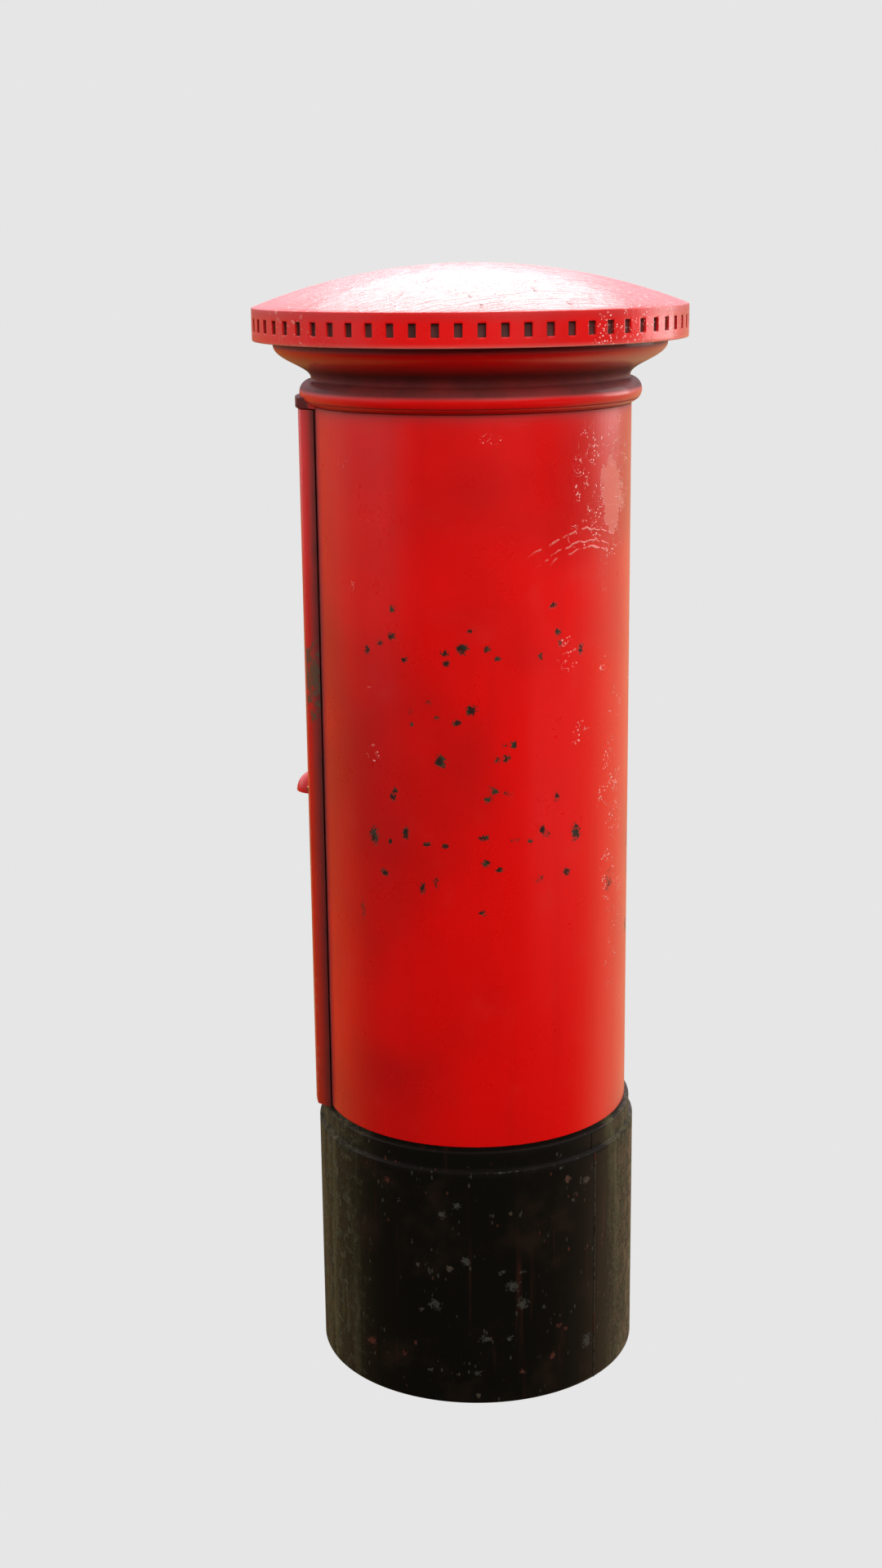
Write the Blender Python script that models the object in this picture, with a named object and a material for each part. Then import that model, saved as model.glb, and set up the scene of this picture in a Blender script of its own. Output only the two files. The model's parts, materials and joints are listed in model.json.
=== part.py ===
"""A cast-iron pillar box: a cylindrical street letter box with a domed cap and a hinged door.

Metres, +Z up. The origin is the centre of the base's underside. The door faces -Y, its hinges
are on the -X side and its lock is on the +X side. The box rests closed and unlocked.
"""

import math

import bmesh
import bpy
from mathutils import Matrix, Vector

# Driving dimensions, in metres
BODY_R = 0.225
WALL = 0.012
GAP = 0.0003  # between pieces that touch
CLEARANCE = 0.0003  # radial, round screws, bolts and pins
PAST = 0.005  # how far a drill runs past the face it breaks through
DOOR_SIDE = (-0.35, -0.05)  # the Y span of everything on the door's side

BASE_R = 0.2375
BASE_TOP_Z = 0.365
STEP_R = 0.2317
STEP_TOP_Z = 0.393
NECK_R = 0.223
BASE_WALL_R = 0.2165
FOOT_R = 0.190  # inner radius of the foot ring
FOOT_T = 0.020
BODY_Z0 = 0.398
BODY_Z1 = 1.427

FLANGE_R = 0.176  # inner radius of the flanges that join the castings
FLANGE_T = 0.014

LIP_R = 0.214  # inner radius of the joint between the cornice and the cap

CORNICE_TOP_Z = 1.5152
BEAD_R = 0.0173
BEAD_Z = 1.4446
OGEE_Z0 = 1.4635
OGEE_Z1 = 1.510
OGEE_R1 = 0.2745

RIM_R = 0.3026
RIM_Z0 = 1.5155
RIM_Z1 = 1.560
CAP_TOP_Z = 1.617
CAP_INNER_R = 0.286
DENTILS = 64
DENTIL_SIZE = (0.0107, 0.0055, 0.0176)  # width, depth, height
DENTIL_Z = 1.538

DOOR_OUT = 0.242
DOOR_IN = 0.227
DOOR_MIDDLE = (DOOR_IN + DOOR_OUT) / 2
DOOR_HALF_X = 0.1908
DOOR_Z0 = 0.395
DOOR_Z1 = 1.423
OPENING_HALF_X = 0.175
OPENING_Z = (0.420, 1.405)
HOOD_R = 0.2456
HOOD_Z = (1.425, 1.4388)
HOOD_HALF_X = 0.193

HINGE_X = -0.202
HINGE_Y = -0.134
HINGE_ZS = (0.520, 0.910, 1.300)
KNUCKLE_R = 0.009
KNUCKLE_HALF = 0.014
LUG_SPAN = (KNUCKLE_HALF + 0.0005, 0.030)
PIN_R = 0.004
PIN_HALF = 0.033

REBATE_HALF_X = 0.168
REBATE_Z = (0.428, 1.397)
REBATE_WIDTH = 0.010
REBATE_DEPTH = 0.013

SLOT_HALF_X = 0.100
SLOT_Z = (1.291, 1.329)
SURROUND_HALF_X = SLOT_HALF_X + 0.012
SURROUND_R = DOOR_OUT + 0.005
SURROUND_Z = (1.278, 1.345)
RAIN_HOOD_Y = -0.108
RAIN_HOOD_R = 0.150
RAIN_HOOD_Z = (1.334, 1.346)

# Raised frames on the door, each with a pocket for a plate
NOTICE = {"half_x": 0.078, "z": (1.105, 1.250), "y": -0.248}
NOTICE_POCKET = {"half_x": 0.067, "z": (1.117, 1.238), "y": -0.244}
TABLET = {"half_x": 0.032, "z": (1.058, 1.094), "y": -0.2475}
TABLET_POCKET = {"half_x": 0.0245, "z": (1.0635, 1.0885), "y": -0.2435}
PLATE_T = 0.0016
WINDOW_T = 0.0015
TABLET_T = 0.0027

# The chute is folded from sheet and held by four tabs
CHUTE_HALF_X = 0.104
CHUTE_Z = (1.240, 1.352)
CHUTE_BACK_Y = -0.124
SHEET = 0.002
TAB_X = (CHUTE_HALF_X - 0.001, 0.127)
TAB_ZS = (1.250, 1.325)
TAB_HEIGHT = 0.025
TAB_SCREW_AZIMUTH = 30.6

# The lock is modelled with its key axis at X = 0, pointing out along -Y, then turned to its azimuth
LOCK_AZIMUTH = 26.0  # degrees from -Y towards +X
LOCK_Z = 0.930
LOCK_PILLAR_ZS = (LOCK_Z - 0.036, LOCK_Z + 0.036)
LOCK_FACE_Y = -0.207
LOCK_SCREW_R = 0.0025
BOSS_R = 0.018
BOSS_Y = -0.2422
BOLT_Y = (-0.179, -0.168)
BOLT_TRAVEL = 0.016
KEY_TUBE_R = 0.0095
COVER_PIVOT_Z = LOCK_Z + 0.026

PULL_AZIMUTH = 23.0  # degrees from -Y towards +X
PULL_Z = 0.850
PULL_SIZE = (0.030, 0.033, 0.031)  # half width, depth and height of the cup
PULL_WALL = 0.004
PULL_EAR_HALF_X = 0.041
PULL_EAR_T = 0.003
PULL_SCREW_Z = PULL_Z + 0.009
PULL_SCREW_STEP = 8.5  # degrees each side of the pull's middle

GUARD_X = -0.170
GUARD_Y = -0.075
GUARD_Z = (0.446, 1.234)
GUARD_ROD_R = 0.004
GUARD_BARS = 7
GUARD_RUNGS = 6

SEGMENTS = 64


# Building blocks


def clear_scene():
    for obj in list(bpy.data.objects):
        bpy.data.objects.remove(obj)


def solid(name, bm):
    """Turn a bmesh into a named object whose faces point outwards."""
    bmesh.ops.recalc_face_normals(bm, faces=bm.faces)
    mesh = bpy.data.meshes.new(name)
    bm.to_mesh(mesh)
    bm.free()
    obj = bpy.data.objects.new(name, mesh)
    bpy.context.collection.objects.link(obj)
    return obj


def turned(name, outline, segments=SEGMENTS):
    """Spin a (radius, height) outline about Z; an outline off the axis is closed first."""
    bm = bmesh.new()
    points = [bm.verts.new((radius, 0.0, height)) for radius, height in outline]
    ends = points[1:]
    if min(radius for radius, _ in outline) > 0:
        ends = points[1:] + points[:1]
    edges = [bm.edges.new(pair) for pair in zip(points, ends)]
    bmesh.ops.spin(
        bm,
        geom=points + edges,
        cent=(0.0, 0.0, 0.0),
        axis=(0.0, 0.0, 1.0),
        angle=math.tau,
        steps=segments,
        use_merge=True,
    )
    bmesh.ops.remove_doubles(bm, verts=bm.verts, dist=1e-6)
    return solid(name, bm)


def ring(name, inner, outer, low, high):
    return turned(name, [(inner, low), (outer, low), (outer, high), (inner, high)])


def disc(name, radius, low, high, segments=SEGMENTS):
    return turned(name, [(0.0, low), (radius, low), (radius, high), (0.0, high)], segments)


def block(name, x, y, z):
    """A box between the (low, high) pairs x, y and z."""
    centre = Vector(((x[0] + x[1]) / 2, (y[0] + y[1]) / 2, (z[0] + z[1]) / 2))
    size = Matrix.Diagonal((x[1] - x[0], y[1] - y[0], z[1] - z[0], 1.0))
    bm = bmesh.new()
    bmesh.ops.create_cube(bm, size=1.0, matrix=Matrix.Translation(centre) @ size)
    return solid(name, bm)


def rod(name, start, end, radius, segments=24):
    """A cylinder between two points; six segments make a hexagonal bar."""
    start, end = Vector(start), Vector(end)
    span = end - start
    turn = span.to_track_quat("Z", "Y").to_matrix().to_4x4()
    bm = bmesh.new()
    bmesh.ops.create_cone(
        bm,
        cap_ends=True,
        segments=segments,
        radius1=radius,
        radius2=radius,
        depth=span.length,
        matrix=Matrix.Translation((start + end) / 2) @ turn,
    )
    return solid(name, bm)


def combine(target, tool, operation):
    """Apply an exact Boolean to the target and remove the tool."""
    modifier = target.modifiers.new("shape", "BOOLEAN")
    modifier.operation = operation
    modifier.solver = "EXACT"
    modifier.object = tool
    graph = bpy.context.evaluated_depsgraph_get()
    mesh = bpy.data.meshes.new_from_object(target.evaluated_get(graph))
    target.modifiers.clear()
    target.data = mesh
    bpy.data.objects.remove(tool)
    return target


def cut(target, *tools):
    for tool in tools:
        combine(target, tool, "DIFFERENCE")
    return target


def join(target, *tools):
    for tool in tools:
        combine(target, tool, "UNION")
    return target


def keep(target, tool):
    return combine(target, tool, "INTERSECT")


def sector(name, inner, outer, half_x, z):
    """A curved bar on the door's side, concentric with the body, clipped to a width."""
    bar = ring(name, inner, outer, *z)
    return keep(bar, block("span", (-half_x, half_x), DOOR_SIDE, (z[0] - PAST, z[1] + PAST)))


def turn_about_z(obj, degrees):
    obj.data.transform(Matrix.Rotation(math.radians(degrees), 4, "Z"))
    return obj


def set_origin(obj, point):
    """Move the object's origin to a point and leave its shape where it is."""
    obj.data.transform(Matrix.Translation(-Vector(point)))
    obj.location = point
    return obj


def axis_empty(name, point):
    empty = bpy.data.objects.new(name, None)
    empty.location = point
    bpy.context.collection.objects.link(empty)
    return empty


def ride_on(parent, *pieces):
    bpy.context.view_layer.update()
    for piece in pieces:
        piece.parent = parent
        piece.matrix_parent_inverse = parent.matrix_world.inverted()


def material(name, colour, roughness, metallic):
    made = bpy.data.materials.new(name)
    made.use_nodes = True
    shader = made.node_tree.nodes["Principled BSDF"]
    shader.inputs["Base Color"].default_value = (*colour, 1.0)
    shader.inputs["Roughness"].default_value = roughness
    shader.inputs["Metallic"].default_value = metallic
    made.diffuse_color = (*colour, 1.0)
    return made


def finished(obj, surface):
    """Give a finished piece its material and smooth shading on its round faces."""
    obj.data.materials.clear()
    obj.data.materials.append(surface)
    obj.data.shade_smooth()
    obj.data.set_sharp_from_angle(angle=math.radians(30))
    return obj


def around(radius, degrees, height):
    angle = math.radians(degrees)
    return Vector((radius * math.cos(angle), radius * math.sin(angle), height))


def arc(centre, radius, start, end, steps):
    """Points of a circular arc in the (radius, height) plane, angles in degrees."""
    points = []
    for step in range(steps + 1):
        angle = math.radians(start + (end - start) * step / steps)
        points.append((centre[0] + radius * math.cos(angle), centre[1] + radius * math.sin(angle)))
    return points


# Fasteners

BASE_BOLT = {"circle": 0.200, "count": 6, "first": 30.0, "radius": 0.006, "head": 0.0104}
CORNICE_BOLT = {"circle": 0.196, "count": 4, "first": 45.0, "radius": 0.005, "head": 0.0092}
CAP_BOLT = {"circle": 0.228, "count": 4, "first": 45.0, "radius": 0.005, "head": 0.0092}
HEAD_T = 0.007
NUT_T = 0.0075

SMALL_SCREW = {"head": 0.0045, "shank": 0.002, "length": 0.011}
LOCK_SCREW = {"head": 0.0055, "shank": LOCK_SCREW_R, "length": 0.020}
COVER_SCREW = {"head": 0.006, "shank": LOCK_SCREW_R, "length": 0.014}
SCREW_HEAD_T = 0.0028
SMALL_SCREW_HOLE_R = SMALL_SCREW["shank"] + CLEARANCE
LOCK_SCREW_HOLE_R = LOCK_SCREW_R + CLEARANCE


def bolt_angles(kind):
    return [kind["first"] + 360.0 * index / kind["count"] for index in range(kind["count"])]


def bolt_holes(target, kind, low, high):
    for degrees in bolt_angles(kind):
        foot = around(kind["circle"], degrees, low)
        top = around(kind["circle"], degrees, high)
        cut(target, rod("hole", foot, top, kind["radius"] + CLEARANCE, 16))
    return target


def hex_bolt(name, kind, degrees, seat, tip):
    """A bolt whose hexagonal head starts at seat and points away from tip."""
    away = math.copysign(1.0, seat - tip)
    head = rod(
        name,
        around(kind["circle"], degrees, seat),
        around(kind["circle"], degrees, seat + away * HEAD_T),
        kind["head"],
        6,
    )
    shank = rod(
        "shank",
        around(kind["circle"], degrees, seat + away * HEAD_T / 2),
        around(kind["circle"], degrees, tip),
        kind["radius"],
        16,
    )
    return join(head, shank)


def hex_nut(name, kind, degrees, top):
    """A nut whose upper face lies at top."""
    high = around(kind["circle"], degrees, top)
    low = around(kind["circle"], degrees, top - NUT_T)
    nut = rod(name, low, high, kind["head"], 6)
    past = Vector((0, 0, PAST))
    bore = rod("bore", low - past, high + past,
               kind["radius"] + CLEARANCE, 16)
    return cut(nut, bore)


def round_screw(name, kind, seat, direction):
    """A screw whose round head lies behind seat and whose shank runs along direction."""
    seat, direction = Vector(seat), Vector(direction).normalized()
    top = seat - direction * SCREW_HEAD_T
    head = rod(name, top, seat, kind["head"], 20)
    shank_start = seat - direction * SCREW_HEAD_T / 2
    shank = rod("shank", shank_start, seat + direction * kind["length"], kind["shank"], 12)
    slot_half, slot_depth = 0.0006, 0.0012
    driver = block("driver", (-kind["head"], kind["head"]), (-slot_half, slot_half),
                   (-slot_depth, slot_depth))
    turn = direction.to_track_quat("Z", "Y").to_matrix().to_4x4()
    driver.data.transform(Matrix.Translation(top) @ turn)
    return cut(join(head, shank), driver)


# Castings that stand still


def base_casting():
    top = BODY_Z0 - GAP
    outline = [(FOOT_R, 0.0), (BASE_R, 0.0)]
    outline += arc((BASE_R - 0.005, BASE_TOP_Z - 0.005), 0.005, 0, 90, 3)
    outline += [(STEP_R, BASE_TOP_Z)]
    outline += arc((STEP_R - 0.003, STEP_TOP_Z - 0.003), 0.003, 0, 90, 2)
    outline += [(NECK_R, STEP_TOP_Z), (NECK_R, top), (FLANGE_R, top), (FLANGE_R, top - FLANGE_T)]
    outline += [(BASE_WALL_R, top - FLANGE_T), (BASE_WALL_R, FOOT_T), (FOOT_R, FOOT_T)]
    base = turned("base_casting", outline)
    return bolt_holes(base, BASE_BOLT, top - FLANGE_T - PAST, top + PAST)


def hinge_lug(low, high):
    """A cast lug that carries a hinge pin and runs back into the carcase wall."""
    lug = rod("lug", (HINGE_X, HINGE_Y, low), (HINGE_X, HINGE_Y, high), KNUCKLE_R)
    reach = block(
        "reach", (HINGE_X - KNUCKLE_R, HINGE_X + KNUCKLE_R), (HINGE_Y, -0.075), (low, high)
    )
    join(lug, reach)
    return cut(lug, disc("inside", BODY_R - WALL / 2, low - PAST, high + PAST))


def hinge_bore(z):
    """The drill for one hinge pin, through its knuckle and both lugs."""
    reach = PIN_HALF + PAST
    return rod("pin_hole", (HINGE_X, HINGE_Y, z - reach), (HINGE_X, HINGE_Y, z + reach),
               PIN_R + CLEARANCE, 16)


def carcase():
    inner = BODY_R - WALL
    outline = [(BODY_R, BODY_Z0), (BODY_R, BODY_Z1), (FLANGE_R, BODY_Z1)]
    outline += [(FLANGE_R, BODY_Z1 - FLANGE_T), (inner, BODY_Z1 - FLANGE_T)]
    outline += [(inner, BODY_Z0 + FLANGE_T), (FLANGE_R, BODY_Z0 + FLANGE_T), (FLANGE_R, BODY_Z0)]
    shell = turned("carcase", outline)
    cut(shell, block("opening", (-OPENING_HALF_X, OPENING_HALF_X), DOOR_SIDE, OPENING_Z))
    near, far = LUG_SPAN
    for z in HINGE_ZS:
        join(shell, hinge_lug(z - far, z - near), hinge_lug(z + near, z + far))
        cut(shell, hinge_bore(z))
    eye_r, eye_height, arm_half = 0.008, 0.012, 0.007
    for low in (GUARD_Z[0] - eye_height - 0.002, GUARD_Z[1] + 0.002):
        high = low + eye_height
        eye = rod("eye", (GUARD_X, GUARD_Y, low), (GUARD_X, GUARD_Y, high), eye_r)
        arm_x = (GUARD_X - 0.035, GUARD_X)
        join(eye, block("arm", arm_x, (GUARD_Y - arm_half, GUARD_Y + arm_half), (low, high)))
        pivot = rod("pivot", (GUARD_X, GUARD_Y, low - PAST), (GUARD_X, GUARD_Y, high + PAST),
                    GUARD_ROD_R + CLEARANCE, 16)
        join(shell, cut(eye, pivot))
    bolt_holes(shell, BASE_BOLT, BODY_Z0 - PAST, BODY_Z0 + FLANGE_T + PAST)
    bolt_holes(shell, CORNICE_BOLT, BODY_Z1 - FLANGE_T - PAST, BODY_Z1 + PAST)
    return shell


def ogee(steps):
    """The S-curve of the cornice, from its neck up to its top edge: a Bezier curve in height."""
    neck = BODY_R - 0.0023
    rise = OGEE_Z1 - OGEE_Z0
    first_pull, second_pull = 0.018, 0.0245
    points = []
    for step in range(steps + 1):
        t = step / steps
        radius = neck + (OGEE_R1 - neck) * (3 * t**2 - 2 * t**3)
        height = 3 * t * (1 - t) ** 2 * first_pull + 3 * t**2 * (1 - t) * second_pull + t**3 * rise
        points.append((radius, OGEE_Z0 + height))
    return points


def cornice():
    """A sloped band with a notch above it, a bead, an ogee, and a flat seat for the cap."""
    low = BODY_Z1 + GAP
    seat = CORNICE_TOP_Z - FLANGE_T
    throat, shoulder, wall_top = 0.208, 0.248, 1.470
    outline = [(FLANGE_R, low), (BODY_R + 0.0016, low), (BODY_R + 0.0100, BEAD_Z - 0.0111)]
    outline += [(BODY_R + 0.0094, BEAD_Z - 0.0103)]
    outline += arc((BODY_R - 0.003, BEAD_Z), BEAD_R, -34, 82, 8)
    outline += ogee(8)
    outline += [(OGEE_R1, CORNICE_TOP_Z), (LIP_R, CORNICE_TOP_Z), (LIP_R, seat), (shoulder, seat)]
    outline += [(shoulder, seat - 0.009), (throat, wall_top), (throat, low + FLANGE_T)]
    outline += [(FLANGE_R, low + FLANGE_T)]
    crown = turned("cornice", outline)
    hood = sector("hood", BODY_R + 0.0006, HOOD_R, HOOD_HALF_X, HOOD_Z)
    join(crown, hood)
    bolt_holes(crown, CORNICE_BOLT, low - PAST, low + FLANGE_T + PAST)
    return bolt_holes(crown, CAP_BOLT, seat - PAST, CORNICE_TOP_Z + PAST)


def dome(top, rim_r, rim_z, edge_r, steps):
    """A spherical crown from edge_r in to the axis, on the sphere through rim and top."""
    rise = top - rim_z
    sphere = (rim_r**2 + rise**2) / (2 * rise)
    points = []
    for step in range(steps + 1):
        radius = edge_r * (1 - step / steps)
        points.append((radius, top - sphere + math.sqrt(sphere**2 - radius**2)))
    return points


def dentil_cutters():
    """One mesh of boxes, sunk into the rim at equal angles."""
    width, depth, height = DENTIL_SIZE
    bm = bmesh.new()
    for index in range(DENTILS):
        place = (
            Matrix.Rotation(math.tau * (index + 0.5) / DENTILS, 4, "Z")
            @ Matrix.Translation((0.0, -RIM_R, DENTIL_Z))
            @ Matrix.Diagonal((width, 2 * depth, height, 1.0))
        )
        bmesh.ops.create_cube(bm, size=1.0, matrix=place)
    return solid("dentils", bm)


def cap():
    outline = dome(CAP_TOP_Z, RIM_R, RIM_Z1, RIM_R, 7)[::-1]
    outline += [(RIM_R, RIM_Z0), (LIP_R, RIM_Z0), (LIP_R, RIM_Z0 + FLANGE_T)]
    outline += [(CAP_INNER_R, RIM_Z0 + FLANGE_T)]
    outline += dome(CAP_TOP_Z - WALL, RIM_R, RIM_Z1 - WALL, CAP_INNER_R, 4)
    top = turned("cap", outline, DENTILS)
    cut(top, dentil_cutters())
    return bolt_holes(top, CAP_BOLT, RIM_Z0 - PAST, RIM_Z0 + FLANGE_T + PAST)


def floor_plate():
    """A loose plate on the bottom flange, with drain holes."""
    low = BODY_Z0 + FLANGE_T + GAP
    high = low + 0.004
    plate = disc("floor_plate", 0.186, low, high)
    drain_circle, drain_r, first, drains = 0.120, 0.006, 13.0, 6
    for index in range(drains):
        degrees = first + 360.0 * index / drains
        foot = around(drain_circle, degrees, low - PAST)
        top = around(drain_circle, degrees, high + PAST)
        cut(plate, rod("drain", foot, top, drain_r, 16))
    return plate


def fixed_fasteners():
    pieces = []
    for index, degrees in enumerate(bolt_angles(BASE_BOLT), 1):
        seat = BODY_Z0 + FLANGE_T + GAP
        under = BODY_Z0 - GAP - FLANGE_T - GAP
        tip = under - NUT_T - 0.0025
        pieces.append(hex_bolt(f"base_bolt_{index}", BASE_BOLT, degrees, seat, tip))
        pieces.append(hex_nut(f"base_nut_{index}", BASE_BOLT, degrees, under))
    for index, degrees in enumerate(bolt_angles(CORNICE_BOLT), 1):
        seat = BODY_Z1 - FLANGE_T - GAP
        tip = BODY_Z1 + GAP + FLANGE_T
        pieces.append(hex_bolt(f"cornice_bolt_{index}", CORNICE_BOLT, degrees, seat, tip))
    for index, degrees in enumerate(bolt_angles(CAP_BOLT), 1):
        seat = CORNICE_TOP_Z - FLANGE_T - GAP
        pieces.append(hex_bolt(f"cap_bolt_{index}", CAP_BOLT, degrees, seat, RIM_Z0 + FLANGE_T))
    head_r, head_t = 0.0065, 0.004
    for index, z in enumerate(HINGE_ZS, 1):
        pin = rod(f"hinge_pin_{index}", (HINGE_X, HINGE_Y, z - PIN_HALF),
                  (HINGE_X, HINGE_Y, z + PIN_HALF), PIN_R, 16)
        head_z = z + LUG_SPAN[1] + GAP
        head = rod("head", (HINGE_X, HINGE_Y, head_z), (HINGE_X, HINGE_Y, head_z + head_t), head_r, 16)
        pieces.append(join(pin, head))
    return pieces


# Door


def proud(piece):
    """Trim what stands on the door so that it starts halfway through the door's thickness."""
    return cut(piece, disc("inside", DOOR_MIDDLE, DOOR_Z0, DOOR_Z1))


def raised_frame(name, frame, pocket):
    """A panel that stands on the door's face, with a pocket sunk into it."""
    root_y = -0.200
    panel = block(name, (-frame["half_x"], frame["half_x"]), (frame["y"], root_y), frame["z"])
    hollow = block("pocket", (-pocket["half_x"], pocket["half_x"]), (DOOR_SIDE[0], pocket["y"]), pocket["z"])
    return cut(proud(panel), hollow)


def inlay(name, pocket, back, thickness):
    """A plate that fills a pocket, with its back at the height given."""
    half_x = pocket["half_x"] - GAP
    z = (pocket["z"][0] + GAP, pocket["z"][1] - GAP)
    return block(name, (-half_x, half_x), (back - thickness, back), z)


def hinge_knuckle(z):
    """A knuckle round the hinge pin, with an arm that runs back into the leaf."""
    low, high = z - KNUCKLE_HALF, z + KNUCKLE_HALF
    knuckle = rod("knuckle", (HINGE_X, HINGE_Y, low), (HINGE_X, HINGE_Y, high), KNUCKLE_R)
    arm_y = (HINGE_Y - KNUCKLE_R, HINGE_Y + KNUCKLE_R - 0.001)
    return join(knuckle, block("arm", (HINGE_X, -0.1885), arm_y, (low, high)))


def lock_seats(leaf):
    """Add the key boss with its ear and the two pillars that carry the lock case, and drill them."""
    root_y, drill_y = -0.170, -0.25
    boss = rod("boss", (0.0, BOSS_Y, LOCK_Z), (0.0, root_y, LOCK_Z), BOSS_R, 32)
    ear = rod("ear", (0.0, BOSS_Y, COVER_PIVOT_Z), (0.0, root_y, COVER_PIVOT_Z), 0.010)
    join(leaf, at_lock(proud(join(boss, ear))))
    key_bore = rod("key_bore", (0.0, drill_y, LOCK_Z), (0.0, -0.20, LOCK_Z), KEY_TUBE_R + CLEARANCE)
    pivot_hole = rod("pivot_hole", (0.0, drill_y, COVER_PIVOT_Z), (0.0, -0.2295, COVER_PIVOT_Z),
                     LOCK_SCREW_HOLE_R, 12)
    cut(leaf, at_lock(key_bore), at_lock(pivot_hole))
    for z in LOCK_PILLAR_ZS:
        pillar = rod("pillar", (0.0, -0.231, z), (0.0, LOCK_FACE_Y - GAP, z), 0.007)
        hole = rod("hole", (0.0, LOCK_FACE_Y - 0.018, z), (0.0, LOCK_FACE_Y + PAST, z), LOCK_SCREW_HOLE_R, 12)
        join(leaf, at_lock(pillar))
        cut(leaf, at_lock(hole))
    return leaf


def door_leaf():
    leaf = sector("door_leaf", DOOR_IN, DOOR_OUT, DOOR_HALF_X, (DOOR_Z0, DOOR_Z1))
    rebate = sector("rebate", DOOR_IN - REBATE_DEPTH, DOOR_MIDDLE, REBATE_HALF_X, REBATE_Z)
    field_half_x = REBATE_HALF_X - REBATE_WIDTH
    field_z = (REBATE_Z[0] + REBATE_WIDTH, REBATE_Z[1] - REBATE_WIDTH)
    join(leaf, cut(rebate, block("field", (-field_half_x, field_half_x), DOOR_SIDE, field_z)))
    for z in HINGE_ZS:
        join(leaf, hinge_knuckle(z))
        cut(leaf, hinge_bore(z))

    surround = sector("surround", DOOR_MIDDLE, SURROUND_R, SURROUND_HALF_X, SURROUND_Z)
    rain_hood = proud(rod("rain_hood", (0.0, RAIN_HOOD_Y, RAIN_HOOD_Z[0]),
                          (0.0, RAIN_HOOD_Y, RAIN_HOOD_Z[1]), RAIN_HOOD_R, SEGMENTS))
    join(leaf, surround, rain_hood)
    cut(leaf, block("slot", (-SLOT_HALF_X, SLOT_HALF_X), (DOOR_SIDE[0], -0.17), SLOT_Z))
    join(leaf, raised_frame("notice", NOTICE, NOTICE_POCKET))
    join(leaf, raised_frame("tablet", TABLET, TABLET_POCKET))
    lock_seats(leaf)

    for degrees, z in chute_screw_places():
        hole = rod("hole", (0.0, -DOOR_IN + PAST, z), (0.0, -DOOR_IN - 0.0115, z), SMALL_SCREW_HOLE_R, 12)
        cut(leaf, turn_about_z(hole, degrees))
    for degrees in pull_screw_azimuths():
        hole = rod("hole", (0.0, -DOOR_OUT - PAST, PULL_SCREW_Z),
                   (0.0, -DOOR_OUT + 0.009, PULL_SCREW_Z), SMALL_SCREW_HOLE_R, 12)
        cut(leaf, turn_about_z(hole, degrees))
    return leaf


def chute_screw_places():
    """Azimuth and height of the screw in each tab's middle."""
    return [(side * TAB_SCREW_AZIMUTH, z + TAB_HEIGHT / 2) for side in (-1, 1) for z in TAB_ZS]


def pull_screw_azimuths():
    return [PULL_AZIMUTH + side * PULL_SCREW_STEP for side in (-1, 1)]


def letter_chute():
    """A sheet-metal duct behind the slot, open at the front and at the bottom."""
    outside = DOOR_IN - GAP
    inside_half_x = CHUTE_HALF_X - SHEET
    chute = block("letter_chute", (-CHUTE_HALF_X, CHUTE_HALF_X), (-0.24, CHUTE_BACK_Y), CHUTE_Z)
    keep(chute, disc("inside", outside, CHUTE_Z[0] - PAST, CHUTE_Z[1] + PAST))
    cut(chute, block("duct", (-inside_half_x, inside_half_x), (DOOR_SIDE[0], CHUTE_BACK_Y - SHEET),
                     (CHUTE_Z[0] - PAST, CHUTE_Z[1] - SHEET)))
    for low in TAB_ZS:
        high = low + TAB_HEIGHT
        for side in (-1, 1):
            tab = ring("tab", outside - 0.0002 - SHEET, outside - 0.0002, low, high)
            span = sorted((side * TAB_X[0], side * TAB_X[1]))
            join(chute, keep(tab, block("span", span, DOOR_SIDE, (low - PAST, high + PAST))))
    for degrees, z in chute_screw_places():
        hole = rod("hole", (0.0, -0.24, z), (0.0, -0.21, z), SMALL_SCREW_HOLE_R, 12)
        cut(chute, turn_about_z(hole, degrees))
    return chute


def radial_screws(prefix, places, seat_r, outward):
    """Screws on the door's face or back, each pointing along its own radius."""
    screws = []
    for index, (degrees, z) in enumerate(places, 1):
        direction = (0.0, -1.0 if outward else 1.0, 0.0)
        screw = round_screw(f"{prefix}_{index}", SMALL_SCREW, (0.0, -seat_r, z), direction)
        screws.append(turn_about_z(screw, degrees))
    return screws


def half_dome(name, shrink):
    """An ellipsoid centred on the door's face, the pull's shape before it is trimmed."""
    place = Matrix.Translation((0.0, -DOOR_OUT, PULL_Z))
    size = Matrix.Diagonal((*(half - shrink for half in PULL_SIZE), 1.0))
    bm = bmesh.new()
    bmesh.ops.create_uvsphere(bm, u_segments=28, v_segments=16, radius=1.0, matrix=place @ size)
    return solid(name, bm)


def door_pull():
    """A quarter-dome cup, open underneath, with an ear on each side."""
    face = DOOR_OUT + GAP
    cup = half_dome("door_pull", 0.0)
    ears_z = (PULL_Z + 0.002, PULL_Z + 0.016)
    join(cup, sector("ears", face, face + PULL_EAR_T, PULL_EAR_HALF_X, ears_z))
    cut(cup, half_dome("hollow", PULL_WALL))
    cut(cup, block("below", (-0.06, 0.06), (-0.30, -0.20), (PULL_Z - 0.05, PULL_Z)))
    cut(cup, disc("door_face", face, PULL_Z - 0.06, PULL_Z + 0.06))
    for side in (-1, 1):
        hole = rod("hole", (0.0, -0.26, PULL_SCREW_Z), (0.0, -0.23, PULL_SCREW_Z), SMALL_SCREW_HOLE_R, 12)
        cut(cup, turn_about_z(hole, side * PULL_SCREW_STEP))
    return turn_about_z(cup, PULL_AZIMUTH)


def at_lock(piece):
    return turn_about_z(piece, LOCK_AZIMUTH)


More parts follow.
